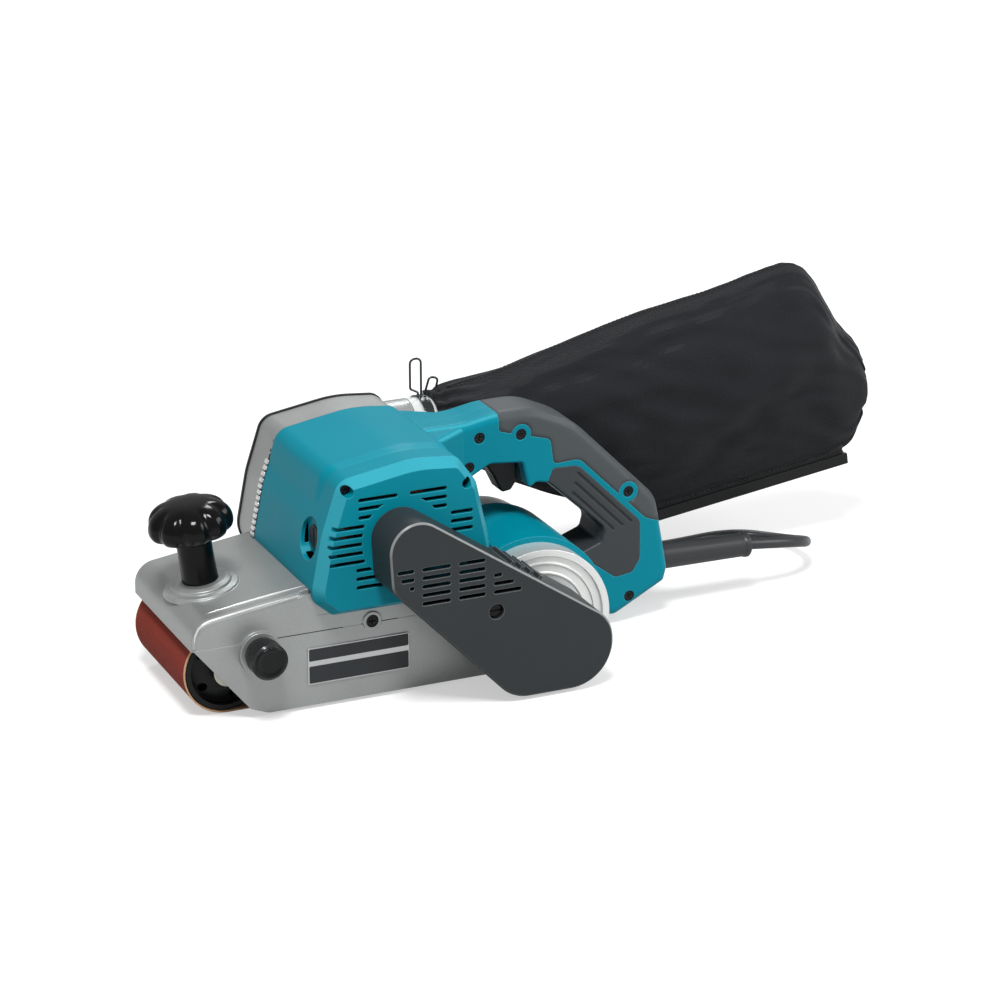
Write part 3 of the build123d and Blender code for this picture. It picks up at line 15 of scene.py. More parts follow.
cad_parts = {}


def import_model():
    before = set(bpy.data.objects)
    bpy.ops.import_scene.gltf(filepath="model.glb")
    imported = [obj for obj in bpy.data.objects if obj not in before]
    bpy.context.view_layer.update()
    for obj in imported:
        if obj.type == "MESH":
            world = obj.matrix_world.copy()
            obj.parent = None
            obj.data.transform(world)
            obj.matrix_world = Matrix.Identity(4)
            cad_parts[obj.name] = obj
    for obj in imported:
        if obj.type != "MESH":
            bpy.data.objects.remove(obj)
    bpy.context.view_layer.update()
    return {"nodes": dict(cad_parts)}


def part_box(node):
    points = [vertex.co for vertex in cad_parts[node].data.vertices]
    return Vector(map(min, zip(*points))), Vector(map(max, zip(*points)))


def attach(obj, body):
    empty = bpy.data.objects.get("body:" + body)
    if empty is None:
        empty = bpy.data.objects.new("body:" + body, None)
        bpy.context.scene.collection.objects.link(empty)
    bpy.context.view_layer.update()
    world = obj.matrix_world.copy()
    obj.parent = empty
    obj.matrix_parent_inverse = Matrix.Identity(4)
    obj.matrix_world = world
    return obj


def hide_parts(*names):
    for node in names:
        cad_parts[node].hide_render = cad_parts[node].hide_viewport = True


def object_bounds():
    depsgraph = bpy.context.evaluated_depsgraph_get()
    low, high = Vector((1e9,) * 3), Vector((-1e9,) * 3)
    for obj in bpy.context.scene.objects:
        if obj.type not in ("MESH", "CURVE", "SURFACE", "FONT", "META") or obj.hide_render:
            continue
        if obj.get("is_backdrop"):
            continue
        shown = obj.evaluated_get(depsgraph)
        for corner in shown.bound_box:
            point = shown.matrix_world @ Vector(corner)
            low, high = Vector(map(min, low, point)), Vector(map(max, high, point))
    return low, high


log = logging.getLogger("sander")

MM = 0.001
WHITE = (1.0, 1.0, 1.0, 1.0)
Point = tuple[float, float, float]
Pair = tuple[float, float]
Tree = bpy.types.NodeTree
Socket = bpy.types.NodeSocket

DRIFT_PER_M = 28.0  # clouds of slowly drifting colour and gloss in a metre
GLOSS_DRIFT = 0.07  # how far they move the roughness
BEVEL_GLOSS = 0.3  # share by which a bevel is smoother than a face
WAVES_PER_CELL = 0.314  # scale of the wave pattern that lays one thread in each cell
BEVEL_SLOPE = 0.6  # sideways lean of the normal on the bevels round the side faces


# ---- colour and nodes ----

def linear(hex_colour: str) -> tuple[float, float, float, float]:
    """Turns an sRGB hex colour into linear RGBA.

    Args:
        hex_colour: Six hex digits, such as "0a7f8c".

    Returns:
        Linear red, green, blue and an alpha of 1.
    """
    channels = []
    for i in (0, 2, 4):
        value = int(hex_colour[i:i + 2], 16) / 255
        channels.append(value / 12.92 if value <= 0.04045 else ((value + 0.055) / 1.055) ** 2.4)
    return (*channels, 1.0)


def add_node(tree: Tree, kind: str, inputs: dict | None = None, **settings) -> bpy.types.Node:
    """Adds one node, sets it up and links it.

    Args:
        tree: The node tree to add to.
        kind: The node's type name without its "ShaderNode" prefix.
        inputs: Socket name or index to a plain value, or to an output socket to link from.
        settings: Properties of the node itself.

    Returns:
        The new node.
    """
    node = tree.nodes.new("ShaderNode" + kind)
    for name, value in settings.items():
        setattr(node, name, value)
    for key, value in (inputs or {}).items():
        if isinstance(value, bpy.types.NodeSocket):
            tree.links.new(value, node.inputs[key])
        else:
            node.inputs[key].default_value = value
    return node


def calc(tree: Tree, operation: str, *values: Socket | float) -> Socket:
    """Adds a sum on single numbers.

    Args:
        tree: The node tree to add to.
        operation: What it does.
        values: Its inputs, plain or linked.

    Returns:
        Its result.
    """
    return add_node(tree, "Math", dict(enumerate(values)), operation=operation).outputs[0]


def remap(tree: Tree, value: Socket, across: Pair = (0.0, 1.0), to: Pair = (0.0, 1.0)) -> Socket:
    """Carries a value from one range over to another, held at both ends.

    Args:
        tree: The node tree to add to.
        value: The value.
        across: The ends that it runs between.
        to: What it becomes at those ends.

    Returns:
        The new value.
    """
    return add_node(tree, "MapRange", {
        "Value": value, "From Min": across[0], "From Max": across[1], "To Min": to[0], "To Max": to[1],
    }).outputs[0]


def blend(tree: Tree, share: Socket, first: Socket | tuple, second: Socket | tuple) -> Socket:
    """Mixes two colours.

    Args:
        tree: The node tree to add to.
        share: Share of the second colour.
        first: Colour at 0.
        second: Colour at 1.

    Returns:
        The mixed colour.
    """
    return add_node(tree, "Mix", {"Factor": share, 6: first, 7: second}, data_type="RGBA").outputs[2]


def empty_tree(owner: bpy.types.Material | bpy.types.World) -> Tree:
    """Switches an owner's nodes on and clears them.

    Args:
        owner: The material or world.

    Returns:
        Its tree.
    """
    owner.use_nodes = True
    owner.node_tree.nodes.clear()
    return owner.node_tree


class Grain(Enum):
    """How a surface was made, which gives its small relief."""

    SPARKED = "moulded in a spark-eroded tool"
    CAST = "die-cast and blasted"
    TURNED = "turned or drawn"
    RUBBER = "moulded soft rubber"
    GRIT = "grit bonded to cloth"
    WOVEN = "plain weave"
    POLISHED = "moulded in a polished tool"


@dataclass(frozen=True)
class Finish:
    """One real material with the way its surface was made.

    Attributes:
        name: Material name.
        colour: sRGB hex of the clean surface.
        edge: sRGB hex of its edges and sideways bevels: partly real wear, partly a painted highlight.
        grain: How the surface was made.
        grain_mm: Size of that relief in millimetres.
        depth_mm: Height of that relief in millimetres.
        roughness: Middle value of its roughness.
        metallic: 1 for bare metal.
        ior: Index of refraction.
        specular: Share of gloss, below 0.5 where fine relief scatters it.
        sheen: Sheen weight, for cloth.
        mottle: How far the colour drifts over the surface.
        speckle: How far the relief itself shades the colour.
        edge_wear_and_highlight: How strongly edges show the edge colour, partly as worn edges and partly as a
            painted highlight.
        bevel: How strongly the bevels round the side faces show the edge colour, as a painted highlight.
        round_mm: Radius to which the light sees its edges rounded, in millimetres.
    """

    name: str
    colour: str
    edge: str
    grain: Grain
    grain_mm: float = 0.6
    depth_mm: float = 0.03
    roughness: float = 0.45
    metallic: float = 0.0
    ior: float = 1.5
    specular: float = 0.5
    sheen: float = 0.0
    mottle: float = 0.06
    speckle: float = 0.06
    edge_wear_and_highlight: float = 0.35
    bevel: float = 0.0
    round_mm: float = 0.9

    def material(self) -> bpy.types.Material:
        """The material, made on first use."""
        found = bpy.data.materials.get(self.name)
        if found:
            return found
        material = bpy.data.materials.new(self.name)
        tree = empty_tree(material)
        place = add_node(tree, "TexCoord").outputs["Object"]
        broad = add_node(tree, "TexNoise", {
            "Vector": place, "Scale": DRIFT_PER_M, "Detail": 3.0,
        }).outputs["Fac"]
        height = self._height(tree, place)
        rounded = add_node(tree, "Bevel", {"Radius": self.round_mm * MM}, samples=6).outputs[0]
        bump = add_node(tree, "Bump", {
            "Strength": 1.0, "Distance": self.depth_mm * MM, "Height": height, "Normal": rounded,
        })
        bevel = self._bevel(tree)
        colour = self._tint(tree, place, self._colour(tree, broad, height, rounded, bevel))
        drift = remap(tree, broad, to=(self.roughness - GLOSS_DRIFT, self.roughness + GLOSS_DRIFT))
        shader = add_node(tree, "BsdfPrincipled", {
            "Base Color": colour, "Metallic": self.metallic, "Normal": bump.outputs[0],
            "Roughness": calc(tree, "MULTIPLY_ADD", bevel, -BEVEL_GLOSS * self.roughness, drift),
            "Sheen Weight": self.sheen,
        })
        if not self.metallic:
            shader.inputs["IOR"].default_value = self.ior
            shader.inputs["Specular IOR Level"].default_value = self.specular
        if self.sheen:
            shader.inputs["Sheen Roughness"].default_value = 0.4
        add_node(tree, "OutputMaterial", {"Surface": shader.outputs[0]})
        return material

    def _bevel(self, tree: Tree) -> Socket:
        """Mask of the bevels round faces that look sideways, except those that slope down and get no light:
        it makes them smoother and paints a highlight on them.

        Args:
            tree: The material's tree.

        Returns:
            The mask, 0 to 1.
        """
        normal = add_node(tree, "NewGeometry").outputs["True Normal"]
        parts = add_node(tree, "SeparateXYZ", {0: normal}).outputs
        off = calc(tree, "SUBTRACT", calc(tree, "ABSOLUTE", parts["Y"]), BEVEL_SLOPE)
        sloping = remap(tree, calc(tree, "ABSOLUTE", off), across=(0.2, 0.12))
        return calc(tree, "MULTIPLY", sloping, remap(tree, parts["Z"], across=(-0.4, 0.1)))

    def _colour(self, tree: Tree, broad: Socket, height: Socket, rounded: Socket, bevel: Socket) -> Socket:
        """Base colour: broad drift, the relief's own shade, and lighter edges and bevels: the edges partly
        worn, partly a painted highlight, the bevels a painted highlight.

        Args:
            tree: The material's tree.
            broad: Slow noise over the surface.
            height: The small relief.
            rounded: Rounded normals, which differ from the true ones at edges.
            bevel: Mask of the bevels.

        Returns:
            The colour.
        """
        clean = linear(self.colour)[:3]
        low, high = ((*(min(1.0, c * (1 + way * self.mottle)) for c in clean), 1.0) for way in (-1, 1))
        base = blend(tree, broad, low, high)
        shade = remap(tree, height, to=(1 - self.speckle, 1 + self.speckle))
        body = add_node(tree, "VectorMath", {0: base, 1: shade}, operation="MULTIPLY").outputs[0]
        true = add_node(tree, "NewGeometry").outputs["Normal"]
        match = add_node(tree, "VectorMath", {0: true, 1: rounded}, operation="DOT_PRODUCT").outputs["Value"]
        # Edges take the edge colour, partly as wear and partly as a painted highlight; the sideways bevels
        # add a painted highlight.
        edge = remap(tree, match, across=(0.985, 0.8), to=(0.0, self.edge_wear_and_highlight))
        worn_and_highlight = calc(tree, "MAXIMUM", edge, calc(tree, "MULTIPLY", bevel, self.bevel))
        return blend(tree, worn_and_highlight, body, linear(self.edge))

    def _tint(self, tree: Tree, place: Socket, colour: Socket) -> Socket:
        """Colour with what else lies on the surface: nothing on a plain one.

        Args:
            tree: The material's tree; not used here.
            place: Object coordinates in metres; not used here.
            colour: The colour so far.

        Returns:
            The colour.
        """
        return colour

    def _height(self, tree: Tree, place: Socket) -> Socket:
        """The relief that the way of making leaves, from 0 to 1.

        Args:
            tree: The material's tree.
            place: Object coordinates in metres.

        Returns:
            The height.
        """
        cells = 1000 / self.grain_mm
        if self.grain is Grain.TURNED:
            drawn = add_node(tree, "Mapping", {"Vector": place, "Scale": (cells, cells * 0.06, cells)})
            return add_node(tree, "TexNoise", {
                "Vector": drawn.outputs[0], "Scale": 1.0, "Detail": 2.0,
            }).outputs[0]
        if self.grain is Grain.GRIT:
            return add_node(tree, "TexVoronoi", {"Vector": place, "Scale": cells}).outputs["Distance"]
        if self.grain is Grain.WOVEN:
            threads = [add_node(tree, "TexWave", {
                "Vector": place, "Scale": cells * WAVES_PER_CELL, "Distortion": 0.6, "Detail": 1.0,
                "Detail Scale": 0.4,
            }, bands_direction=axis).outputs["Fac"] for axis in ("X", "Z")]
            return calc(tree, "MULTIPLY", *threads)
        detail = {Grain.CAST: 4.0, Grain.SPARKED: 2.0, Grain.RUBBER: 2.0, Grain.POLISHED: 1.0}[self.grain]
        return add_node(tree, "TexNoise", {"Vector": place, "Scale": cells, "Detail": detail}).outputs["Fac"]


@dataclass(frozen=True)
class BeltFinish(Finish):
    """Grit on a cloth belt: the backing shows inside the loop and as a line along both edges.

    Attributes:
        backing: sRGB hex of the cloth.
        axes_mm: Distance of each roller axis from the middle, and their height.
        middle_mm: Radius, round a roller axis, at the middle of the belt's thickness.
        half_mm: Half of the belt's width.
        line_mm: Width of the bare line along each edge.
    """

    backing: str = "c9a27e"
    axes_mm: Pair = (106.5, 29.85)
    middle_mm: float = 29.3
    half_mm: float = 50.0
    line_mm: float = 0.9

    def _tint(self, tree: Tree, place: Socket, colour: Socket) -> Socket:
        """Colour with the bare cloth at the edges and inside the loop.

        Args:
            tree: The material's tree.
            place: Object coordinates in metres.
            colour: The grit's colour.

        Returns:
            The colour.
        """
        apart, high = (v * MM for v in self.axes_mm)
        parts = add_node(tree, "SeparateXYZ", {0: place}).outputs
        past = calc(tree, "SUBTRACT", calc(tree, "ABSOLUTE", parts["X"]), apart)
        rise = calc(tree, "SUBTRACT", parts["Z"], high)
        out = add_node(tree, "CombineXYZ", {0: calc(tree, "MAXIMUM", past, 0.0), 1: 0.0, 2: rise}).outputs[0]
        radius = add_node(tree, "VectorMath", {0: out}, operation="LENGTH").outputs["Value"]
        inside = calc(tree, "LESS_THAN", radius, self.middle_mm * MM)
        edge = (self.half_mm - self.line_mm) * MM
        rim = calc(tree, "GREATER_THAN", calc(tree, "ABSOLUTE", parts["Y"]), edge)
        return blend(tree, calc(tree, "MAXIMUM", inside, rim), colour, linear(self.backing))


# Glass-filled nylon, moulded in a spark-eroded tool: an even satin teal with a fine, barely visible
# grain. The bevels leave the tool smoother, and a paler teal is painted on them and on its edges as a
# highlight.
TEAL_NYLON = Finish("glass_filled_nylon_teal_sparked", "007b8d", "62c6d6", Grain.SPARKED, grain_mm=0.8,
                    depth_mm=0.018, roughness=0.4, specular=0.1, mottle=0.07, speckle=0.03, edge_wear_and_highlight=0.35,
                    bevel=0.24)
# Aluminium, die-cast and then blasted: a cool mid grey that scatters light softly, with a sandy
# speckle, brighter edges that are partly worn where it has been handled and partly a painted
# highlight, and a painted highlight on the bevels round its sides.
CAST_ALUMINIUM = Finish("aluminium_die_cast_blasted", "9ea1a0", "f0f0ee", Grain.CAST, grain_mm=0.9,
                        depth_mm=0.06, roughness=0.4, metallic=0.6, mottle=0.14, speckle=0.09, edge_wear_and_highlight=0.4,
                        bevel=0.15)
# The same casting drawn paler and a little smoother: the paler colour is painted light on the rear housing,
# and its edges take a strong painted highlight.
PAINTED_LIGHT_ALUMINIUM = Finish("aluminium_die_cast_painted_light", "e4e6e4", "fafaf8", Grain.CAST, grain_mm=0.9,
                           depth_mm=0.04, roughness=0.4, metallic=0.7, mottle=0.06, speckle=0.05, edge_wear_and_highlight=0.8)
# The casting drawn pale and smooth for its raised lines and the comb's teeth: a bright thin gleam, painted on
# as a highlight.
PAINTED_HIGHLIGHT_ALUMINIUM = Finish("aluminium_die_cast_painted_highlight", "e4e5e3", "ffffff", Grain.CAST, grain_mm=1.2,
                             depth_mm=0.01, roughness=0.3, metallic=0.6, mottle=0.05, speckle=0.03)
# ABS, moulded in a spark-eroded tool: flat charcoal with a soft sheen and a pale line painted
# along its chamfered rim and edges as a highlight.
CHARCOAL_ABS = Finish("abs_charcoal_sparked", "2b2f31", "a3a6a7", Grain.SPARKED, grain_mm=0.8,
                      depth_mm=0.03, roughness=0.44, specular=0.22, mottle=0.07, speckle=0.05, edge_wear_and_highlight=0.5,
                      bevel=0.55)
# Thermoplastic rubber of the upper grip, moulded over the shells: warm mid grey, nearly matt.
GRIP_RUBBER = Finish("thermoplastic_rubber_grey_moulded", "43484a", "6c7274", Grain.RUBBER, grain_mm=0.5,
                     depth_mm=0.02, roughness=0.45, specular=0.3, mottle=0.09, edge_wear_and_highlight=0.12, round_mm=5.0)
# The same rubber drawn darker on the part that the palm closes round.
PALM_RUBBER = Finish("thermoplastic_rubber_dark_moulded", "33373a", "5c6062", Grain.RUBBER, grain_mm=0.5,
                     depth_mm=0.02, roughness=0.42, specular=0.3, mottle=0.1, edge_wear_and_highlight=0.12, round_mm=2.0)
# Phenolic, moulded in a polished tool: deep black with small hard highlights on every lobe.
PHENOLIC_BLACK = Finish("phenolic_black_polished", "0b0b0c", "2a2a2c", Grain.POLISHED, grain_mm=6.0,
                        depth_mm=0.01, roughness=0.17, specular=0.16, mottle=0.03, edge_wear_and_highlight=0.1)
# Nylon, moulded black: a half-gloss black whose edges show a little grey.
NYLON_BLACK = Finish("nylon_black_sparked", "151617", "3d3f41", Grain.SPARKED, roughness=0.36, specular=0.2)
# The same nylon from a smoother tool, for turned caps: glossier, with a pale line painted on its rim as a
# highlight.
NYLON_GLOSS = Finish("nylon_black_polished", "101112", "55585a", Grain.POLISHED, grain_mm=4.0,
                     roughness=0.22, specular=0.22, edge_wear_and_highlight=0.45, bevel=0.2)
# Steel, turned: bright, with fine lines round the axis that draw the highlight out.
BRIGHT_STEEL = Finish("steel_turned", "b9b8b4", "dedcd6", Grain.TURNED, grain_mm=0.4, depth_mm=0.01,
                      roughness=0.28, metallic=1.0)
# Steel with black oxide: almost black, with a grey metallic glint at the slots.
BLACK_STEEL = Finish("steel_black_oxide", "1d1d1e", "6a6a6c", Grain.TURNED, grain_mm=0.5, depth_mm=0.01,
                     roughness=0.36, metallic=0.8)
# Spring steel wire, drawn and blued: dark grey with a thin bright line along it.
SPRING_WIRE = Finish("steel_spring_wire_blued", "55585a", "9a9c9e", Grain.TURNED, grain_mm=0.5,
                     depth_mm=0.01, roughness=0.3, metallic=1.0)
# Steel, pressed and zinc plated: slightly yellow silver with cloudy spangle.
ZINC_STEEL = Finish("steel_zinc_plated_pressed", "b6b4a8", "dcdad0", Grain.CAST, grain_mm=2.5, depth_mm=0.01,
                    roughness=0.33, metallic=1.0)
# Brass, rolled: warm yellow, smooth, for the pins that go into the socket.
ROLLED_BRASS = Finish("brass_rolled", "c8a45a", "e6cf94", Grain.TURNED, grain_mm=0.4, depth_mm=0.006,
                      roughness=0.27, metallic=1.0)
# Aluminium oxide grit glued to cloth: a dry brick red that sparkles slightly and has no gloss. The
# grit is drawn a little coarser than it is, so that it still shows.
ABRASIVE_CLOTH = BeltFinish("aluminium_oxide_grit_on_cloth", "7f3328", "b87a68", Grain.GRIT, grain_mm=0.8,
                            depth_mm=0.25, roughness=0.85, specular=0.15, mottle=0.1, speckle=0.22, edge_wear_and_highlight=0.25)
# Cork sheet under graphite cloth: dull brown-black, coarse crumbs.
GRAPHITE_CORK = Finish("cork_faced_with_graphite_cloth", "5a4634", "7a6650", Grain.GRIT, grain_mm=1.6,
                       depth_mm=0.1, roughness=0.8)
# Aluminium foil, brushed: a paler and smoother grey than the casting that it sits on.
PLATE_FOIL = Finish("aluminium_foil_brushed", "bfc1c1", "e2e3e3", Grain.TURNED, grain_mm=0.3,
                    depth_mm=0.006, roughness=0.34, metallic=0.85)
# Dark ink printed on the foil: flat, with the foil's faint shine through it.
PLATE_INK = Finish("screen_ink_dark_grey", "2c2f32", "5b6063", Grain.POLISHED, grain_mm=3.0,
                   depth_mm=0.004, roughness=0.32, specular=0.25)
# Copper wire in enamel, wound: orange-brown strands with a varnish shine.
COPPER = Finish("copper_enamelled_wound", "a85a34", "d08a5c", Grain.TURNED, grain_mm=0.8, depth_mm=0.08,
                roughness=0.35, metallic=1.0)
# Electrical steel, stacked: dark grey with the lines of its sheets.
LAMINATION = Finish("electrical_steel_stacked", "6c6d6f", "97989a", Grain.TURNED, grain_mm=0.6,
                    depth_mm=0.03, roughness=0.5, metallic=1.0)
# Carbon, pressed: soot black and matt.
CARBON = Finish("carbon_pressed", "232324", "3b3b3c", Grain.CAST, grain_mm=0.5, roughness=0.7)
# Neoprene, moulded: black, matt, slightly grey where it flexes.
BELT_RUBBER = Finish("neoprene_black_moulded", "171718", "2b2b2d", Grain.RUBBER, grain_mm=0.4, roughness=0.6,
                     specular=0.25)
# Rubber sheath, extruded: soft dark grey with one long dull highlight.
CORD_RUBBER = Finish("rubber_sheath_extruded", "2f3133", "4d5053", Grain.RUBBER, grain_mm=0.5,
                     depth_mm=0.015, roughness=0.42, specular=0.35)
# Polyester cloth in a plain weave, coated inside: near black, matt, with a faint dusty sheen on the
# folds. The threads are drawn at 1.3 mm, coarser than they are, so that the weave still shows.
BAG_CLOTH = Finish("polyester_cloth_woven", "1f2124", "34363a", Grain.WOVEN, grain_mm=1.3, depth_mm=0.2,
                   roughness=0.88, specular=0.15, sheen=0.1, mottle=0.16, speckle=0.16, edge_wear_and_highlight=0.0)
# The binding tape of the same yarn, woven tighter: a touch blacker and firmer.
BAG_TAPE = Finish("polyester_tape_woven", "131416", "26272a", Grain.WOVEN, grain_mm=0.9,
                  depth_mm=0.12, roughness=0.8, sheen=0.1)
# Bonded nylon thread: dark, slightly shiny dashes.
BAG_THREAD = Finish("nylon_thread_bonded", "2b2c30", "4a4b50", Grain.TURNED, grain_mm=0.3, roughness=0.5)
# Polypropylene, moulded: pale grey, faintly waxy.
OUTLET_PLASTIC = Finish("polypropylene_pale_grey_moulded", "c6c9c7", "e9ebe9", Grain.SPARKED, roughness=0.4)

NODE_FINISHES: dict[Finish, tuple[str, ...]] = {
    CAST_ALUMINIUM: ("main_frame", "side_plate", "fan_housing"),
    PAINTED_LIGHT_ALUMINIUM: ("rear_housing",),
    PLATE_FOIL: ("nameplate",),
    BRIGHT_STEEL: ("platen_plate", "front_axle", "tension_spring", "knob_bolt", "drive_shaft",
                   "drive_bearings", "motor_pulley", "motor_bearings"),
    SPRING_WIRE: ("bag_clip",),
    GRAPHITE_CORK: ("platen_cork",),
    ABRASIVE_CLOTH: ("sanding_belt",),
    NYLON_BLACK: ("front_roller", "large_pulley", "dust_fan", "cooling_fan", "brush_caps", "trigger",
                  "lock_button", "switch_body", "bag_rail", "fan_cover"),
    NYLON_GLOSS: ("tracking_knob",),
    ZINC_STEEL: ("roller_fork", "tension_slide", "tension_lever", "pulley_nut"),
    PHENOLIC_BLACK: ("front_knob",),
    BELT_RUBBER: ("drive_roller", "drive_belt"),
    LAMINATION: ("stator", "armature"),
    COPPER: ("field_coils", "commutator", "brush_holders"),
    CARBON: ("carbon_brushes",),
    TEAL_NYLON: ("motor_housing", "handle_left", "handle_right"),
    CHARCOAL_ABS: ("belt_cover",),
    BLACK_STEEL: ("cover_screw", "handle_screws", "plate_screw", "panel_screws"),
    GRIP_RUBBER: ("top_grip",),
    PALM_RUBBER: ("rear_grip",),
    CORD_RUBBER: ("cord_guard", "power_cord", "cord_coil", "plug"),
    OUTLET_PLASTIC: ("dust_nozzle",),
    BAG_CLOTH: ("dust_bag",),
}


def dress_nodes(nodes: dict[str, bpy.types.Object]) -> None:
    """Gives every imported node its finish.

    Args:
        nodes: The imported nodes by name.
    """
    for finish, names in NODE_FINISHES.items():
        for name in names:
            mesh = nodes[name].data
            mesh.materials.clear()
            mesh.materials.append(finish.material())
            log.info("%s dressed as %s", name, finish.name)


# ---- mesh helpers ----

def add_object(name: str, data: bpy.types.ID) -> bpy.types.Object:
    """Makes an object and puts it in the scene.

    Args:
        name: The object's name.
        data: What it shows.

    Returns:
        The object.
    """
    made = bpy.data.objects.new(name, data)
    bpy.context.scene.collection.objects.link(made)
    return made


def piece(name: str, bm: bmesh.types.BMesh, finish: Finish, body: str = "machine",
          smooth: bool = True) -> bpy.types.Object:
    """Turns built faces into a piece that rides on a body.

    Args:
        name: The piece's name.
        bm: Its faces, in metres, which are used up.
        finish: Its finish.
        body: The body that it moves with.
        smooth: Whether its faces shade smoothly.

    Returns:
        The object.
    """
    mesh = bpy.data.meshes.new(name)
    bm.to_mesh(mesh)
    bm.free()
    if smooth:
        mesh.shade_smooth()
    mesh.materials.append(finish.material())
    made = add_object(name, mesh)
    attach(made, body)
    log.info("%s rides on %s", name, body)
    return made


def add_rows(bm: bmesh.types.BMesh, rows: list[list[Vector]], closed: bool = True) -> None:
    """Adds rows of points, joined by quads.

    Args:
        bm: The mesh to add to.
        rows: Rows of points, all equally long.
        closed: Whether each row is a ring, with an end face on the first and the last.
    """
    verts = [[bm.verts.new(p) for p in row] for row in rows]
    count = len(rows[0])
    for a, b in zip(verts, verts[1:]):
        for i in range(count if closed else count - 1):
            j = (i + 1) % count
            bm.faces.new((a[i], a[j], b[j], b[i]))
    if closed:
        bm.faces.new(list(reversed(verts[0])))
        bm.faces.new(verts[-1])
    bmesh.ops.recalc_face_normals(bm, faces=bm.faces)


def skin(name: str, rows: list[list[Vector]], finish: Finish, body: str = "machine", smooth: bool = True,
         closed: bool = True) -> bpy.types.Object:
    """Skins rows of points into a piece.

    Args:
        name: The piece's name.
        rows: Rows of points, all equally long, in metres.
        finish: Its finish.
        body: The body that it moves with.
        smooth: Whether its faces shade smoothly.
        closed: Whether each row is a ring.

    Returns:
        The object.
    """
    bm = bmesh.new()
    add_rows(bm, rows, closed)
    return piece(name, bm, finish, body, smooth)


def turns(count: int) -> list[float]:
    """Angles of points that are spread evenly round a ring.

    Args:
        count: Number of points.

    Returns:
        The angles, in radians.
    """
    return [2 * math.pi * k / count for k in range(count)]


def eased(share: float) -> float:
    """Turns a straight slope into a soft one that is level at 0 and at 1.

    Args:
        share: Place on the slope; it is held between 0 and 1.

    Returns:
        Height on the soft slope.
    """
    share = min(1.0, max(0.0, share))
    return share * share * (3 - 2 * share)


def curve_point(corners: tuple[tuple[float, ...], ...], place: float) -> tuple[float, ...]:
    """Point on a smooth curve through rows of numbers.

    Args:
        corners: The rows.
        place: How far along them, from 0 to the last one's index.

    Returns:
        The numbers there.
    """
    last = len(corners) - 1
    i = min(int(place), last - 1)
    t = place - i
    near = [corners[min(max(i + k, 0), last)] for k in (-1, 0, 1, 2)]
    return tuple(0.5 * (2 * b + (c - a) * t + (2 * a - 5 * b + 4 * c - d) * t * t
                        + (3 * b - a - 3 * c + d) * t ** 3) for a, b, c, d in zip(*near))


def nurbs_line(name: str, points: list[Point], radius: float) -> bpy.types.Object:
    """A round cord along a smooth open spline.

    Args:
        name: The curve's name.
        points: Control points in metres.
        radius: The cord's radius in metres.

    Returns:
        The curve object, not yet on a body.
    """
    curve = bpy.data.curves.new(name, "CURVE")
    curve.dimensions = "3D"
    spline = curve.splines.new("NURBS")
    spline.points.add(len(points) - 1)
    for point, place in zip(spline.points, points):
        point.co = (*place, 1.0)
    spline.order_u = 3
    spline.use_endpoint_u = True
    spline.resolution_u = 8
    curve.bevel_depth = radius
    curve.bevel_resolution = 5
    curve.use_fill_caps = True
    return add_object(name, curve)


# ---- studio ----

